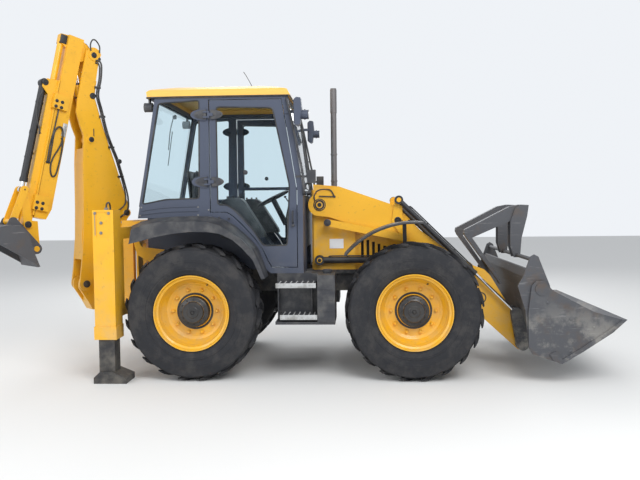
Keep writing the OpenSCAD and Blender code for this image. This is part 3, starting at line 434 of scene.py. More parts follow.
def smooth_path(points, cuts):
    """Points of a Catmull-Rom curve through the given ones."""
    pts = [Vector(p) for p in points]
    if len(pts) < 3:
        return pts
    pts = [2 * pts[0] - pts[1]] + pts + [2 * pts[-1] - pts[-2]]
    path = []
    for a, b, c, d in zip(pts, pts[1:], pts[2:], pts[3:]):
        for k in range(cuts):
            s = k / cuts
            square, cube = (2 * a - 5 * b + 4 * c - d) * s * s, (3 * b - a - 3 * c + d) * s ** 3
            path.append(0.5 * (2 * b + (c - a) * s + square + cube))
    path.append(pts[-2])
    return path


def tube(bm, points, radius, steps, cuts=6, closed=False):
    """Round bar along a path; cuts=0 keeps its corners."""
    path = smooth_path(points, cuts) if cuts else [Vector(p) for p in points]
    count = len(path)
    rings = []
    normal = None
    for i, p in enumerate(path):
        before = path[(i - 1) % count] if closed or i else p
        after = path[(i + 1) % count] if closed or i < count - 1 else p
        ahead = (after - before).normalized()
        if normal is None:
            normal = ahead.orthogonal().normalized()
        normal = (normal - ahead * normal.dot(ahead)).normalized()
        side = ahead.cross(normal)
        rings.append([
            p + radius * (math.cos(a) * normal + math.sin(a) * side)
            for a in [2 * math.pi * k / steps for k in range(steps)]
        ])
    shell(bm, rings, closed=closed)


def prism(bm, outline, y0, y1, bevel=0):
    """Outline in the XZ plane drawn along Y, with its edges taken off."""
    part = bmesh.new()
    shell(part, [[(x, y, z) for x, z in outline] for y in (y0, y1)])
    if bevel:
        bmesh.ops.bevel(part, geom=part.edges[:], offset=bevel, segments=2, affect="EDGES", profile=0.6)
    joined(bm, part)


def slab(bm, low, high, bevel):
    """Box between two corners, with its edges taken off."""
    x0, y0, z0 = low
    x1, y1, z1 = high
    prism(bm, [(x0, z0), (x1, z0), (x1, z1), (x0, z1)], y0, y1, bevel)


def joined(bm, part):
    """Adds the mesh of part to bm."""
    mesh = bpy.data.meshes.new("scrap")
    part.to_mesh(mesh)
    part.free()
    bm.from_mesh(mesh)
    bpy.data.meshes.remove(mesh)


def bolt(bm, place, axis, size, washer=True):
    """Hexagon head on a washer."""
    if washer:
        turned(bm, [(size * 1.7, 0), (size * 1.7, 2), (size * 1.5, 2.6)], place, axis, 20)
    turned(bm, [(size * 1.15, 1), (size * 1.15, size), (size, size * 1.15)], place, axis, 6)


def pin_head(bm, place, axis, radius):
    """Pin end with its retaining ring and grease nipple."""
    turned(bm, [(radius + 12, -2), (radius + 12, 4), (radius + 9, 6), (radius + 2, 6), (radius, 3),
                (radius - 3, 3), (radius - 6, 7), (9, 7), (8, 12), (4, 15)], place, axis, 28)


def piece(name, finish, bm, body="chassis", at=MACHINE, angle=35):
    """Finished mesh object that rides on a body."""
    bmesh.ops.transform(bm, matrix=at, verts=bm.verts[:])
    bmesh.ops.recalc_face_normals(bm, faces=bm.faces[:])
    mesh = bpy.data.meshes.new(name)
    bm.to_mesh(mesh)
    bm.free()
    mesh.materials.append(FINISH[finish])
    obj = bpy.data.objects.new(name, mesh)
    bpy.context.scene.collection.objects.link(obj)
    mesh.shade_smooth()
    mesh.set_sharp_from_angle(angle=math.radians(angle))
    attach(obj, body)
    return obj


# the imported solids' own finishes

def dress_frame():
    for sub in frame["record"]["subparts"]:
        node = frame["nodes"][sub["node"]]
        node.data.materials.clear()
        node.data.materials.append(FINISH[sub["material_slot"]])
    chassis = frame["nodes"]["chassis_frame"]
    chassis.data.materials.clear()
    chassis.data.materials.append(two_tone("chassis_paint", RAIL_TOP * MM))


# wheels

NUT_CIRCLE = 225
HUB_BOLT_CIRCLE = 131
SIDEWALL_RIBS = ((402, 188, 6), (462, 214, 5), (520, 217, 4))
HUB_PROFILE = [
    (188, 4), (188, 10), (180, 12), (172, 9), (160, 10), (156, 26), (154.5, 82), (150, 88), (142, 91),
    (116, 95), (110, 99), (107, 121), (101, 127), (60, 128), (54, 133), (22, 133), (18, 129), (1, 129),
]


def dress_wheels():
    for end, x in (("front", WHEELBASE), ("rear", 0)):
        for hand, side in SIDES:
            dress_wheel(f"{end}_{hand}", x, side)


def dress_wheel(place, x, side):
    centre = Vector((x, side * WHEEL_Y, AXLE_Z))
    out = Vector((0, side, 0))

    def around(radius, angle, height):
        return centre + out * height + Vector((radius * math.cos(angle), 0, radius * math.sin(angle)))

    bm = bmesh.new()
    turned(bm, HUB_PROFILE, centre, out, 48)
    for i in range(12):
        bolt(bm, around(HUB_BOLT_CIRCLE, math.tau * i / 12, 92), out, 7, washer=False)
    turned(bm, [(14, 130), (14, 139), (11, 141)], centre, out, 6)
    piece(f"hub_cover_{place}", "hub_black", bm, f"wheel_{place}")

    bm = bmesh.new()
    for i in range(10):
        stud = around(NUT_CIRCLE, math.tau * i / 10, 0)
        turned(bm, [(22, 4), (22, 9), (19, 14)], stud, out, 20)
        turned(bm, [(17, 8), (17, 26), (14, 29)], stud, out, 6)
        turned(bm, [(10, 20), (10, 38), (8, 40)], stud, out, 12)
    piece(f"wheel_nuts_{place}", "yellow_paint", bm, f"wheel_{place}")

    bm = bmesh.new()
    tube(bm, [around(298, 1.1, 12), around(300, 1.1, 40), around(306, 1.1, 62)], 6, 8, 4)
    turned(bm, [(8, 0), (8, 14), (6, 17)], around(306, 1.1, 60), out, 8)
    piece(f"tyre_valve_{place}", "hose_rubber", bm, f"wheel_{place}")

    bm = bmesh.new()
    for face in (1, -1):
        for radius, height, proud in SIDEWALL_RIBS:
            foot = face * (height - 6)
            shoulder = face * (height + proud * 0.5)
            crest = face * (height + proud)
            loop = [(radius - 5, foot), (radius + 5, foot), (radius + 5, shoulder),
                    (radius + 2, crest), (radius - 2, crest), (radius - 5, shoulder)]
            turned(bm, loop, centre, out, 72, hollow=True)
    piece(f"sidewall_ribs_{place}", "tyre_rubber", bm, f"wheel_{place}")


# cab

REAR_WINDOW = [(-550, 1785), (-303, 1832), (44, 1840), (60, 2838), (-362, 2812)]
DOOR_WINDOW = [
    (235, 1770), (330, 1770), (400, 1720), (483, 1637), (607, 1497),
    (698, 1350), (946, 1350), (975, 1963), (812, 2750), (235, 2768),
]
HANDLE_X = 1010
HINGE_X = 157
HINGE_Z = (2008, 2690)
GRAB_RAIL = [(964, 2820), (1010, 2610), (1072, 2304), (1116, 2070), (1122, 1900)]
RAIL_OFF = 34
MIRROR_OFF = (70, 180)
MIRROR_Z = (2582, 2790)
MIRROR_LAMP_Z = 2660
HEAD_LAMP_X = 1235
LAMP_POD = (-512, CAB_HALF - 62, 2782)
CAB_SCREWS = [
    (-560, 1752), (30, 1752), (-575, 1668), (30, 1668), (140, 1720),
    (140, 2880), (-360, 2872), (80, 2878), (880, 2878),
]
ANTENNA_Y = -330
REAR_CONSOLE_Z = 1560
FLOOR_TOP = 1116


def rounded(outline, radius):
    """Outline with its corners rounded."""
    steps = 4
    points = []
    count = len(outline)
    for i in range(count):
        p = Vector(outline[i])
        a = Vector(outline[i - 1]) - p
        b = Vector(outline[(i + 1) % count]) - p
        reach = min(radius, a.length * 0.4, b.length * 0.4)
        start = p + a.normalized() * reach
        end = p + b.normalized() * reach
        for k in range(steps + 1):
            s = k / steps
            points.append((1 - s) ** 2 * start + 2 * s * (1 - s) * p + s * s * end)
    return [tuple(q) for q in points]


def seal(bm, outline, y):
    """Rubber bead around a side window in the XZ plane."""
    tube(bm, [(x, y, z) for x, z in rounded(outline, 34)], 8, 8, 0, closed=True)


def cross_seal(bm, corners):
    """Rubber bead around a front or rear screen given by its corners."""
    tube(bm, corners, 9, 8, 0, closed=True)


def dress_cab():
    for hand, side in SIDES:
        dress_cab_side(hand, side)
    dress_screens()
    dress_roof()
    dress_controls()
    dress_consoles()


def dress_cab_side(hand, side):
    y = side * CAB_HALF
    out = Vector((0, side, 0))

    for name, body, window in (("rear", "chassis", REAR_WINDOW), ("door", f"door_{hand}", DOOR_WINDOW)):
        bm = bmesh.new()
        seal(bm, window, y - side * 3)
        piece(f"{name}_window_seal_{hand}", "hose_rubber", bm, body)

    bm = bmesh.new()
    grip = ((28, 1582), (54, 1592), (56, 1640), (54, 1690), (28, 1700))
    tube(bm, [(HANDLE_X, y + side * off, z) for off, z in grip], 9, 10, 5)
    turned(bm, [(15, 28), (15, 34), (12, 37)], (HANDLE_X, y, 1556), out, 20)
    piece(f"door_handle_{hand}", "black_plastic", bm, f"door_{hand}")

    for name, body, way in (("door", f"door_{hand}", 1), ("pillar", "chassis", -1)):
        bm = bmesh.new()
        for z in HINGE_Z:
            oval = [(HINGE_X + way * (22 + 128 * math.cos(a)), z + 50 * math.sin(a))
                    for a in [math.radians(k) for k in range(-90, 91, 15)]]
            prism(bm, oval, y + side * 12, y + side * 20, 2)
            for reach in (60, 120):
                bolt(bm, (HINGE_X + way * reach, y + side * 19, z), out, 7)
        piece(f"{name}_hinge_cover_{hand}", "black_plastic", bm, body)

    bm = bmesh.new()
    rail_y = y + side * RAIL_OFF
    rail = [(x, rail_y, z) for x, z in GRAB_RAIL]
    tube(bm, [(958, y, 2832), *rail, (1118, y, 1872)], 12, 12, 6)
    for x, z in ((1010, 2610), (1072, 2304), (1112, 2090)):
        tube(bm, [(x - 14, y - side * 2, z), (x - 6, rail_y - side * 8, z), (x, rail_y, z)], 7, 8, 3)
    piece(f"grab_rail_{hand}", "black_plastic", bm)

    (near, far), (foot, top) = MIRROR_OFF, MIRROR_Z
    bm = bmesh.new()
    slab(bm, (1044, y + side * near, foot), (1049, y + side * far, top), 2)
    piece(f"mirror_glass_{hand}", "mirror_glass", bm)
    bm = bmesh.new()
    for low, high in ((near - 6, near), (far, far + 6)):
        slab(bm, (1041, y + side * low, foot - 6), (1052, y + side * high, top + 6), 1)
    for low, high in ((foot - 8, foot), (top, top + 8)):
        slab(bm, (1041, y + side * (near - 6), low), (1052, y + side * (far + 6), high), 1)
    piece(f"mirror_rim_{hand}", "black_plastic", bm)

    lens_place = (1182, y + side * 120, MIRROR_LAMP_Z)
    bm = bmesh.new()
    turned(bm, [(41, -3), (41, 1), (34, 6), (20, 9), (1, 10)], lens_place, (1, 0, 0), 32)
    piece(f"mirror_lamp_lens_{hand}", "lens_clear", bm)
    bm = bmesh.new()
    turned(bm, [(40, 0), (47, 0), (48, 4), (44, 7), (40, 5)], lens_place, (1, 0, 0), 32, hollow=True)
    for way in (1, -1):
        bolt(bm, (1150, y + side * 120, MIRROR_LAMP_Z + way * 46), (0, 0, way), 5)
    piece(f"mirror_lamp_ring_{hand}", "black_plastic", bm)

    for name, finish, low, high in (("head", "lens_clear", 2050, 2112), ("turn", "lens_amber", 1991, 2044)):
        bm = bmesh.new()
        slab(bm, (HEAD_LAMP_X, y - side * 58, low), (HEAD_LAMP_X + 6, y + side * 4, high), 2)
        piece(f"{name}_lamp_lens_{hand}", finish, bm)
    bm = bmesh.new()
    for z in (1988, 2047, 2115):
        slab(bm, (HEAD_LAMP_X - 2, y - side * 62, z - 3), (HEAD_LAMP_X + 8, y + side * 8, z + 3), 1)
    for low, high in ((-62, -58), (4, 8)):
        slab(bm, (HEAD_LAMP_X - 2, y + side * low, 1986), (HEAD_LAMP_X + 8, y + side * high, 2117), 1)
    cable = ((1166, 20, 2000), (1140, 18, 1960), (1112, 20, 1930), (1104, 24, 1880))
    tube(bm, [(x, y - side * off, z) for x, off, z in cable], 6, 8)
    piece(f"head_lamp_frame_{hand}", "black_plastic", bm)

    pod = (LAMP_POD[0], side * LAMP_POD[1], LAMP_POD[2])
    bm = bmesh.new()
    turned(bm, [(40, -4), (40, 2), (32, 7), (1, 9)], pod, (-1, 0, 0), 32)
    piece(f"rear_lamp_lens_{hand}", "lens_clear", bm)
    bm = bmesh.new()
    turned(bm, [(39, 0), (48, 0), (49, 5), (45, 8), (39, 6)], pod, (-1, 0, 0), 32, hollow=True)
    piece(f"rear_lamp_ring_{hand}", "black_plastic", bm)

    bm = bmesh.new()
    for x, z in CAB_SCREWS:
        turned(bm, [(9, -2), (9, 2), (6, 4), (1, 4.5)], (x, y, z), out, 12)
    piece(f"cab_screws_{hand}", "bolt_steel", bm)

    bm = bmesh.new()
    knob = [(20, -8), (20, 3), (24, 6), (24, 16), (18, 22), (1, 23)]
    turned(bm, knob, (524, y - side * 22, 2100), out, 24)
    piece(f"window_lock_{hand}", "black_plastic", bm, f"door_{hand}")

    bm = bmesh.new()
    for x in (-470, -330, -180, -20, 120, 250, 350):
        z = 1659 - 0.00018 * (x + 20) ** 2 - 4
        turned(bm, [(11, -8), (11, 4), (8, 7), (1, 8)], (x, y + side * 14, z), UP, 12)
    piece(f"fender_screws_{hand}", "black_plastic", bm)


def dress_screens():
    inner = CAB_HALF - 52
    bm = bmesh.new()
    cross_seal(bm, [(1104, -inner, 1856), (1106, inner, 1856), (1106, inner, 1926),
                    (962, inner, 2846), (962, -inner, 2846), (1106, -inner, 1926)])
    cross_seal(bm, [(-592, -inner, 1766), (-592, inner, 1766), (-404, inner, 2846), (-404, -inner, 2846)])
    piece("screen_seals", "hose_rubber", bm)

    bm = bmesh.new()
    turned(bm, [(26, -10), (26, 20), (18, 34), (1, 36)], (1108, -170, 1890), (1, 0, 0.15), 20)
    tube(bm, [(1132, -170, 1895), (1128, -150, 2060), (1092, -120, 2300)], 7, 8)
    tube(bm, [(1136, -165, 2000), (1104, -130, 2230), (1058, -100, 2520)], 5, 8)
    wiper_blade(bm, (1130, -178, 2010), (1046, -110, 2580), 7)
    piece("front_wiper", "black_plastic", bm)

    bm = bmesh.new()
    turned(bm, [(24, -8), (24, 18), (16, 30), (1, 32)], (-425, 60, 2790), (-1, 0, -0.17), 20)
    tube(bm, [(-450, 60, 2785), (-500, 90, 2620), (-530, 120, 2420)], 6, 8)
    wiper_blade(bm, (-474, 95, 2630), (-548, 150, 2240), 6)
    piece("rear_wiper", "black_plastic", bm)


def wiper_blade(bm, start, end, radius):
    """Slim four-sided bar between two points."""
    a = Vector(start)
    b = Vector(end)
    tube(bm, [a, a.lerp(b, 0.03), a.lerp(b, 0.5), a.lerp(b, 0.97), b], radius, 4, 0)


def dress_roof():
    bm = bmesh.new()
    y = CAB_HALF + 16
    side_edge = [(-470, -y, 2872), (-200, -y, 2874), (300, -y, 2874), (980, -y, 2872)]
    front_edge = [(990, 14 - y, 2872), (990, y - 14, 2872)]
    far_edge = [(x, y, z) for x, _, z in reversed(side_edge)]
    rear_edge = [(-480, y - 14, 2872), (-480, 14 - y, 2872)]
    tube(bm, side_edge + front_edge + far_edge + rear_edge, 7, 8, 0, closed=True)
    piece("roof_edge_seal", "hose_rubber", bm)

    bm = bmesh.new()
    foot = (545, ANTENNA_Y, 3010)
    turned(bm, [(26, -6), (26, 6), (20, 14), (10, 22), (8, 34), (5, 40)], foot, (-0.15, 0, 1), 20)
    whip = ((543, 3030), (512, 3092), (470, 3168), (440, 3214))
    tube(bm, [(x, ANTENNA_Y, z) for x, z in whip], 3.5, 8)
    piece("radio_antenna", "black_plastic", bm)

    bm = bmesh.new()
    for x in (40, 330, 620):
        tube(bm, [(x, -560, 3004), (x, -300, 3020), (x, 0, 3022), (x, 300, 3020), (x, 560, 3004)], 7, 8)
    piece("roof_ribs", "roof_paint", bm)


def dress_controls():
    bm = bmesh.new()
    for y in (-150, 150):
        turned(bm, [(14, 0), (24, 8), (29, 24), (27, 42), (16, 56), (1, 59)], (-400, y, 1790), UP, 24)
        for k in range(5):
            fold = [(40 - 4 * k, 0), (44 - 4 * k, 8), (38 - 4 * k, 16)]
            turned(bm, fold, (-400, y, REAR_CONSOLE_Z + 15 * k), UP, 24)
    for y in (-90, 0, 90):
        tube(bm, [(-460, y, REAR_CONSOLE_Z), (-470, y, 1640), (-468, y, 1700)], 7, 8)
        turned(bm, [(8, 0), (15, 6), (17, 18), (12, 28), (1, 30)], (-468, y, 1695), UP, 16)
    tube(bm, [(930, -120, 1765), (900, -210, 1800), (870, -250, 1850)], 6, 8)
    turned(bm, [(7, 0), (14, 5), (15, 16), (1, 24)], (870, -250, 1845), (-0.3, -0.3, 1), 16)
    tube(bm, [(380, -300, 1480), (395, -300, 1620), (370, -300, 1720)], 8, 8)
    turned(bm, [(10, 0), (24, 8), (28, 24), (20, 42), (1, 48)], (370, -300, 1712), UP, 20)
    piece("control_levers", "black_plastic", bm)

    bm = bmesh.new()
    slab(bm, (-495, -325, REAR_CONSOLE_Z), (-335, 325, REAR_CONSOLE_Z + 6), 2)
    for y in range(-280, 281, 56):
        slab(bm, (-488, y - 18, REAR_CONSOLE_Z + 4), (-440, y + 18, REAR_CONSOLE_Z + 12), 2)
    piece("rear_console_top", "black_plastic", bm)

    bm = bmesh.new()
    for y in (-60, 60):
        slab(bm, (800, y - 40, 1160), (830, y + 40, 1260), 6)
        tube(bm, [(815, y, 1250), (860, y, 1330)], 9, 8)
    piece("foot_pedals", "black_plastic", bm)

    bm = bmesh.new()
    slab(bm, (-470, -480, FLOOR_TOP), (770, 480, FLOOR_TOP + 6), 2)
    for y in range(-420, 421, 60):
        slab(bm, (-440, y - 8, FLOOR_TOP + 5), (760, y + 8, FLOOR_TOP + 10), 2)
    piece("floor_mat", "hose_rubber", bm)


CONSOLE = [
    (235, 1420), (235, 1780), (262, 1822), (330, 1846), (440, 1842),
    (492, 1800), (540, 1716), (620, 1590), (690, 1480), (702, 1430),
]


def dress_consoles():
    """Trim beside the seat, above the rear wheel's arch."""
    for hand, side in SIDES:
        bm = bmesh.new()
        prism(bm, CONSOLE, side * 560, side * 720, 12)
        for k in range(3):
            turned(bm, [(12, -4), (12, 14), (8, 20), (1, 21)], (300 + 60 * k, side * 640, 1842), UP, 16)
        piece(f"side_console_{hand}", "black_plastic", bm)


# driver's seat

def cushion(bm, centre, half, thick, turn, channels):
    """Crowned pad with its sides drawn in between the corners; channels are the places of sewn lines."""
    cols, rows = 28, 24
    grid = {}
    for i in range(cols + 1):
        for j in range(rows + 1):
            u, v = 2 * i / cols - 1, 2 * j / rows - 1
            x = half[0] * u * (1 - 0.05 * (1 - v * v))
            y = half[1] * v * (1 - 0.04 * (1 - u * u))
            edge = min((1 - abs(u)) * half[0], (1 - abs(v)) * half[1]) / (thick * 0.6)
            rise = math.sqrt(max(0.0, 1 - (1 - min(edge, 1)) ** 2))
            crown = 0.16 * thick * (1 - u * u) * (1 - v * v)
            dent = sum(math.exp(-((u * half[0] - c) / 9) ** 2) for c in channels) * 9
            top = thick / 2 * rise + crown - dent * rise
            for face, height in ((0, top), (1, -thick / 2 * rise)):
                rim = i in (0, cols) or j in (0, rows)
                if rim and face:
                    grid[i, j, 1] = grid[i, j, 0]
                    continue
                place = Vector(centre) + turn @ Vector((x, y, 0 if rim else height))
                grid[i, j, face] = bm.verts.new(place)
    for i in range(cols):
        for j in range(rows):
            for face in (0, 1):
                quad = [grid[a, b, face] for a, b in ((i, j), (i + 1, j), (i + 1, j + 1), (i, j + 1))]
                bm.faces.new(quad if face == 0 else list(reversed(quad)))
    rim = [grid[i, 0, 0].co for i in range(cols)] + [grid[cols, j, 0].co for j in range(rows)]
    rim += [grid[i, rows, 0].co for i in range(cols, 0, -1)] + [grid[0, j, 0].co for j in range(rows, 0, -1)]
    tube(bm, [p.copy() for p in rim], 5, 6, 0, closed=True)


def dress_seat():
    flat = Matrix.Identity(3)
    leaning = Matrix.Rotation(math.radians(-84.5), 3, "Y")
    bm = bmesh.new()
    cushion(bm, (108, 0, 1566), (215, 225), 88, flat, (-120, -40, 40, 120))
    pad = piece("seat_cushion", "seat_cloth", bm, angle=60)
    bm = bmesh.new()
    cushion(bm, (-150, 0, 1880), (275, 215), 84, leaning, (-150, -50, 50, 150))
    back = piece("seat_back", "seat_cloth", bm, angle=60)

    bm = bmesh.new()
    slab(bm, (-105, -205, 1490), (320, 205, 1524), 10)
    prism(bm, [(-186, 1570), (-170, 1570), (-226, 2160), (-244, 2150)], -205, 205, 6)
    for k in range(7):
        z = 1190 + 42 * k
        fold = 4 * (k % 2)
        slab(bm, (-60 + fold, -150 + fold, z), (240 - fold, 150 - fold, z + 40), 8)
    slab(bm, (-78, -168, FLOOR_TOP + 1), (278, 168, 1188), 8)
    arm_rest = [(-150, 1790), (60, 1790), (90, 1770), (60, 1750), (-150, 1752)]
    for side in (-1, 1):
        prism(bm, arm_rest, side * 222 - 18, side * 222 + 18, 9)
    shell_piece = piece("seat_shell", "black_plastic", bm)
    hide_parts("driver_seat")

    bm = bmesh.new()
    tube(bm, [(-110, 228, 1530), (-60, 234, 1540), (20, 232, 1536)], 11, 8)
    turned(bm, [(12, 0), (16, 6), (16, 30), (10, 36), (1, 37)], (10, 226, 1538), UP, 16)
    piece("seat_buckle", "knob_red", bm)


# front end: hood, mudguards, exhaust, tanks and steps

STACK = (1413, -300)
HOOD_SIDE = 378
GUARD_EDGE = 884
STEPS = ((851, 1247, 984), (890, 1258, 668))
STEP_STUDS = (893, 938, 1004, 1070)
TANK_FRONT = 1439


def dress_front():
    bm = bmesh.new()
    turned(bm, [(31, 0), (35.5, 2), (35.5, 250), (31, 252)], (*STACK, 2755), UP, 28, hollow=True)
    for z in (2010, 2300):
        turned(bm, [(31.5, 0), (36, 1), (36, 17), (31.5, 18)], (*STACK, z), UP, 28, hollow=True)
        slab(bm, (STACK[0] - 8, STACK[1] - 45, z + 3), (STACK[0] + 8, STACK[1] - 34, z + 15), 2)
    piece("exhaust_clamps", "exhaust_steel", bm)
    bm = bmesh.new()
    for side in (1, -1):
        y = side * HOOD_SIDE
        for k in range(3):
            tube(bm, [(1700 + 6 * k, y, 1160 - k * 26), (2050, y + side, 1130 - k * 20),
                      (2300, y, 1110 - k * 12)], 3, 6)
    piece("hood_side_seams", "black_plastic", bm)
    bm = bmesh.new()
    for y in (-250, 250):
        tube(bm, [(1220, y, 1918), (1440, y, 1899), (2035, y, 1694)], 5, 8, 0)
    tube(bm, [(2045, -374, 1684), (2045, 0, 1686), (2045, 374, 1684)], 4, 8, 0)
    piece("hood_ribs", "yellow_paint", bm)
    bm = bmesh.new()
    for side in (1, -1):
        y = side * (HOOD_SIDE - 1)
        turned(bm, [(16, -2), (16, 5), (12, 9), (1, 9)], (2600, y, 1112), (0, side, 0), 20)
        slab(bm, (2588, y, 1108), (2612, y + side * 15, 1116), 2)
    piece("hood_latches", "black_plastic", bm)
    for hand, side in SIDES:
        bm = bmesh.new()
        for y in (-40, 40):
            for x in (2110, 2190):
                bolt(bm, (x, side * 840 + y, 1591), UP, 8)
        arc = [math.radians(a) for a in range(84, 141, 4)]
        tube(bm, [(WHEELBASE + GUARD_EDGE * math.cos(a), side * 1106, AXLE_Z + GUARD_EDGE * math.sin(a))
                  for a in arc], 9, 8, 0)
        piece(f"mudguard_edge_{hand}", "black_paint", bm, f"knuckle_front_{hand}")
    dress_tanks()


def dress_tanks():
    for hand, side in SIDES:
        bm = bmesh.new()
        for x0, x1, z in STEPS:
            slab(bm, (x0 - 2, side * 1088, z - 44), (x1 + 2, side * 1103, z + 4), 3)
            for k in range(7):
                x = x0 + 30 + k * (x1 - x0 - 60) / 6
                for y in STEP_STUDS:
                    turned(bm, [(7, -2), (6, 3), (3, 6)], (x, side * y, z), UP, 8)
        piece(f"step_edges_{hand}", "galvanised", bm)
        bm = bmesh.new()
        cap = (1352, side * 830, 1066)
        turned(bm, [(44, -4), (44, 10), (52, 12), (52, 30), (46, 36), (1, 37)], cap, UP, 28)
        for z in (700, 810, 920):
            slab(bm, (TANK_FRONT - 6, side * 640, z), (TANK_FRONT, side * 1040, z + 16), 3)
            slab(bm, (1285, side * 1086, z), (1415, side * 1094, z + 16), 3)
        piece(f"tank_cap_{hand}", "black_plastic", bm)
    bm = bmesh.new()
    slab(bm, (1362, -425, 1290), (1512, -422, 1393), 1)
    piece("blank_label", "label_white", bm)


# loader

ARM_PIVOT = (1262, 1761)
ARM_BEND = (2960, 760)
SHOVEL_PIN = (3385, 275)
LINK_PIVOT = (1346, 1572)
LEVER_PIVOT = (2090, 1590)
LEVER_TOP = (2100, 1805)
LIFT_BASE = (1256, 1168)
LIFT_EYE = (2300, 1170)
LIFT_Y = 467
TILT_EYE = (3323, 605)
TILT_Y = 558
ARM_PIPE_Y = 426
ARM_PIPE = [(1420, 1700), (1850, 1560), (2330, 1330), (2640, 1130), (2850, 950), (3000, 700)]
PIVOT_HOSE = [
    (1214, 1800), (1206, 1850), (1228, 1898), (1264, 1919), (1320, 1926), (1382, 1914), (1423, 1846),
]


def at_y(point, y):
    """Point of the XZ plane at a place across the machine."""
    return point[0], y, point[1]


def between(start, end, share, off=0):
    """Point on a line in the XZ plane, a share of the way along and off to its left."""
    a, b = Vector(start), Vector(end)
    along = (b - a).normalized()
    p = a.lerp(b, share) + off * Vector((-along.y, along.x))
    return p.x, p.y


def dress_loader():
    for hand, side in SIDES:
        out = (0, side, 0)
        bm = bmesh.new()
        pivot = at_y(ARM_PIVOT, side * 519)
        ring(bm, 36, 53, -2, 5, pivot, out, 32)
        turned(bm, [(22, -2), (22, 5), (18, 8), (8, 8), (7, 4), (1, 4)], pivot, out, 28)
        base = at_y(LIFT_BASE, side * 500)
        turned(bm, [(20, -2), (20, 4), (16, 6), (7, 6), (6, 3), (1, 3)], base, out, 28)
        piece(f"arm_pivot_cap_{hand}", "hub_black", bm)
        bm = bmesh.new()
        ring(bm, 58, 66, 0, 5, at_y(ARM_PIVOT, side * ARM_OUT), out, 32)
        for place in (SHOVEL_PIN, ARM_BEND):
            loop = [(50, 0), (62, 0), (60, 5), (50, 5)]
            turned(bm, loop, at_y(place, side * ARM_OUT), out, 28, hollow=True)
        piece(f"arm_rings_{hand}", "black_paint", bm, "loader_arms")

        bm = bmesh.new()
        y = side * 516
        tube(bm, [at_y(place, y) for place in PIVOT_HOSE], 7, 8)
        tube(bm, [(1257, y, 1853), (1330, y, 1850), (1423, y, 1846)], 6, 8)
        turned(bm, [(12, 0), (12, 10), (9, 14)], (1423, side * 508, 1846), out, 12)
        piece(f"pivot_hoses_{hand}", "hose_rubber", bm)

        bm = bmesh.new()
        for place, radius in ((LEVER_PIVOT, 24), (LEVER_TOP, 20)):
            pin_head(bm, at_y(place, side * 529), out, radius)
        piece(f"lever_caps_{hand}", "black_paint", bm, "tilt_levers")
        bm = bmesh.new()
        pin_head(bm, at_y(LINK_PIVOT, side * 565), out, 26)
        piece(f"link_cap_{hand}", "black_plastic", bm)

        bm = bmesh.new()
        inner = side * ARM_PIPE_Y
        for drop in (0, 26):
            tube(bm, [(x, inner, z - drop) for x, z in ARM_PIPE], 8, 8)
        for x, z in ((1650, 1616), (2100, 1436), (2560, 1175), (2900, 862)):
            slab(bm, (x - 14, inner - side * 6, z - 40), (x + 14, inner + side * 6, z + 24), 3)
        piece(f"arm_pipes_{hand}", "black_paint", bm, "loader_arms")

        dress_ram(f"lift_barrel_{hand}", "lift_barrels", LIFT_BASE, LIFT_EYE, side * LIFT_Y, 34, 860)
        dress_ram(f"tilt_barrel_{hand}", "tilt_barrels", LEVER_TOP, TILT_EYE, side * TILT_Y, 27, 1120)
    dress_shovel()


def dress_ram(name, body, foot, eye, y, radius, length):
    """Gland, pipe and fittings on a ram barrel."""
    reach = math.dist(foot, eye)
    bm = bmesh.new()
    a = between(foot, eye, (length - 2) / reach)
    b = between(foot, eye, 1)
    ahead = (b[0] - a[0], 0, b[1] - a[1])
    ring(bm, radius * 0.8, radius * 1.15, -12, -2, at_y(a, y), ahead)
    off = radius + 9
    stations = ((0.12, radius + 2), (0.16, off), (0.5, off), (0.88, off), (0.93, radius + 2))
    tube(bm, [at_y(between(foot, eye, s * length / reach, o), y) for s, o in stations], 7, 8)
    for s in (0.12, 0.93):
        port = between(foot, eye, s * length / reach, radius * 0.95)
        turned(bm, [(13, -1), (13, 6), (10, 9)], at_y(port, y), (-ahead[2], 0, ahead[0]), 6)
    for s in (0.35, 0.7):
        band(bm, radius, 8, at_y(between(foot, eye, s * length / reach), y), ahead)
    piece(f"{name}_fittings", "black_paint", bm, body)


CLAM_EDGE = ((4091, 509), (4227, 635))
CLAM_PIVOT = (3424, 930)
CLAM_SIDE = 1188
CLAM_SCREWS = ((3480, 800), (3700, 640), (3920, 560), (3700, 330), (3900, 440))
FORK_PIVOT = (3420, 1690)


def dress_shovel():
    bm = bmesh.new()
    for y in range(-1080, 1081, 180):
        place = at_y(between(*CLAM_EDGE, 0.35), y)
        turned(bm, [(17, -3), (17, 3), (12, 6), (1, 6.5)], place, (0.68, 0, -0.73), 12)
    for side in (1, -1):
        out = (0, side, 0)
        ring(bm, 30, 44, 0, 9, at_y(CLAM_PIVOT, side * CLAM_SIDE), out)
        for place in CLAM_SCREWS:
            turned(bm, [(14, -4), (14, 4), (10, 7), (1, 7.5)], at_y(place, side * CLAM_SIDE), out, 12)
    piece("clam_bolts", "worn_steel", bm, "shovel_clam")

    bm = bmesh.new()
    rib = [(3301, 1030), (3356, 905), (3398, 650), (3402, 640), (3364, 905), (3310, 1034)]
    for y in range(-1020, 1021, 170):
        prism(bm, rib, y - 5, y + 5)
    tube(bm, [(3309, -1150, 1112), (3302, 0, 1114), (3309, 1150, 1112)], 12, 10)
    piece("shovel_ribs", "worn_steel", bm, "shovel_back")

    bm = bmesh.new()
    for side in (-1, 1):
        ring(bm, 26, 40, 0, 5, at_y(FORK_PIVOT, side * 330 + 50), (0, 1, 0), 24)
    piece("fork_bolts", "worn_steel", bm, "pallet_forks")


# backhoe boom, in the slewed frame

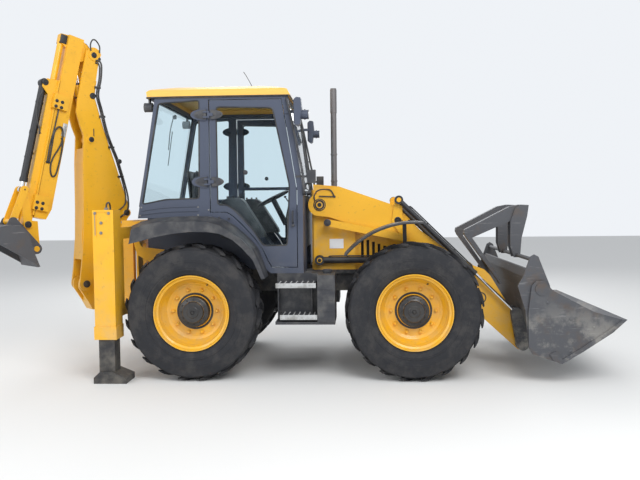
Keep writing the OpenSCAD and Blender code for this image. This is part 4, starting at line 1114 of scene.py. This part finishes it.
CROWD_FOOT = (232, 2517)
CROWD_EYE = (356, 3295)
BOOM_PINS = ((*NOSE_PIN, 20), (*CROWD_FOOT, 18), (-171, 1695, 24), (330, 905, 28))
BOOM_RING = (202, 3004)
HOSE_CLIPS = ((136, 3100), (90, 2780), (-10, 2440), (-116, 2110))
OUTER_HOSE = [
    (128, 3400), (100, 3372), (95, 3310), (106, 3191), (140, 3016), (104, 2856), (36, 2580), (-66, 2323),
    (-92, 2240), (-150, 2038), (-190, 1850), (-160, 1700), (60, 1560),
]
INNER_HOSE = [
    (136, 3372), (120, 3340), (118, 3300), (128, 3191), (162, 3016), (126, 2856), (58, 2580), (-44, 2323),
    (-70, 2240), (-128, 2038), (-160, 1870), (-120, 1760), (90, 1640),
]
NOSE_HOSE = [(214, 3500), (216, 3570), (190, 3622), (150, 3618), (112, 3560), (112, 3490)]

# dipper, inner dipper and bucket, along the dipper from the boom's nose pin

DIPPER_LOOP = [
    (250, -1290), (256, -1100), (258, -968), (238, -905), (200, -885), (168, -930), (158, -1035),
    (178, -1123), (210, -1213), (226, -1300), (212, -1390), (182, -1430), (152, -1385), (140, -1204),
    (146, -1060), (160, -1000),
]
DIPPER_FEED = [(270, -1290), (276, -1120), (270, -1020), (262, -900), (256, -700)]
BUCKET_RAM_FOOT = (438, -450)
BUCKET_RAM_EYE = (445, -1635)
LEVER_EYE_T = 504
LEVER_FOOT_T = 338
LEVER_W = -1990
SLIDE_FEED = [
    (40, 30, -520), (70, 34, -600), (78, 38, -700), (66, 44, -840), (30, 50, -930), (6, 52, -1000),
]
SLIDE_RETURN = [(-6, -30, -926), (50, -34, -924), (80, -38, -995), (52, -42, -1111), (10, -44, -1220)]


def dress_backhoe():
    dress_boom()
    dress_dipper()
    dress_slide()
    dress_swung_ram("bucket_ram", "bucket_barrel", DIPPER, BUCKET_RAM_FOOT, BUCKET_RAM_EYE, 38, 1090)
    dress_swung_ram("crowd_ram", "crowd_barrel", SWUNG, CROWD_FOOT, CROWD_EYE, 44, 630)
    dress_bucket()


def dress_boom():
    for hand, side in (("far", -1), ("near", 1)):
        v = side * BOOM_HALF
        out = (0, side, 0)
        bm = bmesh.new()
        for u, w, radius in BOOM_PINS:
            pin_head(bm, (u, v + side * 7, w), out, radius)
        turned(bm, [(22, 0), (22, 4), (14, 8), (1, 8.5)], (118, v, 3420), out, 20)
        piece(f"boom_caps_{hand}", "black_paint", bm, "boom", SWUNG)
        bm = bmesh.new()
        profile = [(34, -2), (34, 8), (26, 14), (12, 14), (10, 9), (1, 9)]
        turned(bm, profile, at_y(BOOM_RING, v), out, 28)
        slab(bm, (196, v, 2545), (206, v + side * 4, 2640), 2)
        piece(f"boom_rings_{hand}", "black_paint", bm, "boom", SWUNG)
    bm = bmesh.new()
    edge = BOOM_HALF + 12
    tube(bm, [(160, BOOM_HALF + 4, 3396)] + [at_y(place, edge) for place in OUTER_HOSE], 10, 10)
    tube(bm, [(164, BOOM_HALF + 4, 3372)] + [at_y(place, edge) for place in INNER_HOSE], 9, 10)
    for u, w in HOSE_CLIPS:
        slab(bm, (u - 22, BOOM_HALF - 2, w - 12), (u + 46, edge + 12, w + 12), 3)
    turned(bm, [(28, -4), (28, 26), (20, 36), (1, 38)], (-88, BOOM_HALF, 2283), (0, 1, 0), 20)
    for side in (-1, 1):
        tube(bm, [at_y(place, side * (BOOM_HALF + 9)) for place in NOSE_HOSE], 8, 10)
    piece("boom_hoses", "hose_rubber", bm, "boom", SWUNG)


def dress_dipper():
    bm = bmesh.new()
    near = DIPPER_HALF + 14
    tube(bm, [(t, near + 8 * math.sin(k / 2), w) for k, (t, w) in enumerate(DIPPER_LOOP)], 9, 10)
    tube(bm, [at_y(place, near) for place in DIPPER_FEED], 8, 8)
    for place in (DIPPER_LOOP[0], DIPPER_FEED[0], DIPPER_FEED[-1], DIPPER_LOOP[-1]):
        turned(bm, [(13, -8), (13, 12), (10, 15)], at_y(place, DIPPER_HALF), (0, 1, 0), 12)
    piece("dipper_hoses", "hose_rubber", bm, "dipper", DIPPER)
    bm = bmesh.new()
    slab(bm, (128, DIPPER_HALF - 2, -975), (176, DIPPER_HALF + 10, -830), 4)
    for w in (-950, -860):
        bolt(bm, (152, DIPPER_HALF + 10, w), (0, 1, 0), 8)
    piece("dipper_bracket", "galvanised", bm, "dipper", DIPPER)

    bm = bmesh.new()
    for side in (-1, 1):
        pin_head(bm, (0, side * 60, 0), (0, side, 0), 30)
        for w in (-620, -1740):
            for t in (240, 300):
                bolt(bm, (t, side * 118, w), (0, side, 0), 11)
                bolt(bm, (t, side * 118, w - 60), (0, side, 0), 11)
    slab(bm, (292, -52, 28), (368, 52, 128), 8)
    piece("dipper_bolts", "black_paint", bm, "dipper", DIPPER)


def dress_slide():
    """Hoses and pins of the inner dipper and its tipping link."""
    bm = bmesh.new()
    for hose in (SLIDE_FEED, SLIDE_RETURN):
        tube(bm, [(SLIDE_OUT + t, v, w) for t, v, w in hose], 7, 8)
    for _, v, w in (SLIDE_FEED[-1], SLIDE_RETURN[0], SLIDE_RETURN[-1]):
        turned(bm, [(12, -10), (12, 8), (9, 11)], (SLIDE_OUT, v, w), (1, 0, 0), 6)
    piece("slide_hoses", "hose_rubber", bm, "inner_dipper", DIPPER)
    bm = bmesh.new()
    for side in (-1, 1):
        pin_head(bm, at_y(BUCKET_RAM_FOOT, side * 62), (0, side, 0), 22)
        pin_head(bm, (LEVER_FOOT_T, side * 86, LEVER_W), (0, side, 0), 24)
    piece("slide_pins", "black_paint", bm, "inner_dipper", DIPPER)
    bm = bmesh.new()
    for side in (-1, 1):
        pin_head(bm, at_y(BUCKET_RAM_EYE, side * 92), (0, side, 0), 22)
        pin_head(bm, (LEVER_EYE_T, side * 100, LEVER_W), (0, side, 0), 22)
    piece("tipping_pins", "black_paint", bm, "tipping_link", DIPPER)


def dress_bucket():
    bm = bmesh.new()
    for v in (-175, -60, 60, 175):
        for t, w in ((440, -2058), (330, -2190)):
            turned(bm, [(13, -4), (13, 4), (9, 6), (1, 6.5)], (t, v, w), (-0.6, 0, 0.8), 12)
    for v in range(-200, 201, 100):
        prism(bm, [(735, -2206), (752, -2190), (770, -2212), (756, -2232)], v - 30, v + 30, 4)
    piece("bucket_wear_parts", "worn_steel", bm, "digger_bucket", DIPPER)


def dress_swung_ram(name, body, at, foot, eye, radius, length):
    """Gland ring, clamp bands and pipe on a backhoe ram."""
    reach = math.dist(foot, eye)
    a = between(foot, eye, (length - 2) / reach)
    ahead = (eye[0] - foot[0], 0, eye[1] - foot[1])
    bm = bmesh.new()
    bore, rim = radius * 0.8, radius * 1.15
    turned(bm, [(bore, -14), (rim, -14), (rim, 6), (bore, 8)], at_y(a, 0), ahead, 28, hollow=True)
    for s in (0.2, 0.5, 0.76):
        band(bm, radius, 9, at_y(between(foot, eye, s * length / reach), 0), ahead)
    y = radius + 8
    path = [between(foot, eye, s * length / reach) for s in (0.12, 0.16, 0.5, 0.86, 0.92)]
    sides = (radius + 2, y, y, y, radius + 2)
    tube(bm, [(x, off, z) for (x, z), off in zip(path, sides)], 7, 8)
    piece(f"{name}_fittings", "black_paint", bm, body, at)


# rear frame and legs

LEG_X = -850
LEG_HOSE = [(1070, 1750), (1054, 1790), (1000, 1806), (960, 1776), (952, 1700), (952, 1560)]
TAIL_LAMP_X = -955
CARRIAGE_X = -962
LEG_BOLTS = ((-868, 1604), (-871, 1505), (-929, 1700), (-790, 1700))
KINGPOST_HOSE = [(-30, 1, 1010), (-90, 1.6, 1180), (-130, 2.2, 1330), (-150, 2.4, 1440), (-120, 2.2, 1530)]


def dress_rear():
    bm = bmesh.new()
    for side in (-1, 1):
        for place in LEG_BOLTS:
            bolt(bm, at_y(place, side * 1175), (0, side, 0), 9)
        # painted shade: this thin dark strip of bolt steel stands in for the shadow in the narrow gap at the
        # leg's edge
        slab(bm, (-934, side * 1169, 1480), (-926, side * 1177, 1712), 2)
        turned(bm, [(20, 0), (20, 20), (14, 26)], (LEG_X, side * 1070, 1730), UP, 20)
    piece("leg_bolts_and_slot_shade", "bolt_steel", bm)
    for hand, side in SIDES:
        bm = bmesh.new()
        tube(bm, [(LEG_X, side * y, z) for y, z in LEG_HOSE], 9, 8)
        piece(f"leg_hoses_{hand}", "hose_rubber", bm)
        for color, inner, outer in (("red", 1062, 1150), ("amber", 980, 1056)):
            bm = bmesh.new()
            slab(bm, (TAIL_LAMP_X, side * inner, 1640), (TAIL_LAMP_X - 7, side * outer, 1700), 3)
            piece(f"tail_lamp_{color}_{hand}", f"lens_{color}", bm)
    bm = bmesh.new()
    for side in (-1, 1):
        for z in (600, 1590):
            for y in (215, 265):
                bolt(bm, (CARRIAGE_X, side * y, z), (-1, 0, 0), 13)
        for z in (640, 900, 1300, 1560):
            turned(bm, [(16, -3), (16, 4), (12, 8), (1, 9)], (CARRIAGE_X, side * 150, z), (-1, 0, 0), 16)
    piece("carriage_bolts", "bolt_steel", bm, "side_carriage")
    bm = bmesh.new()
    for v in (-46, -16, 16, 46):
        tube(bm, [(u, v * spread, w) for u, spread, w in KINGPOST_HOSE], 10, 8)
    piece("kingpost_hoses", "hose_rubber", bm, "kingpost", SWUNG)


make_camera()
make_studio()
dress_frame()
dress_wheels()
dress_cab()
dress_seat()
dress_front()
dress_loader()
dress_backhoe()
dress_rear()
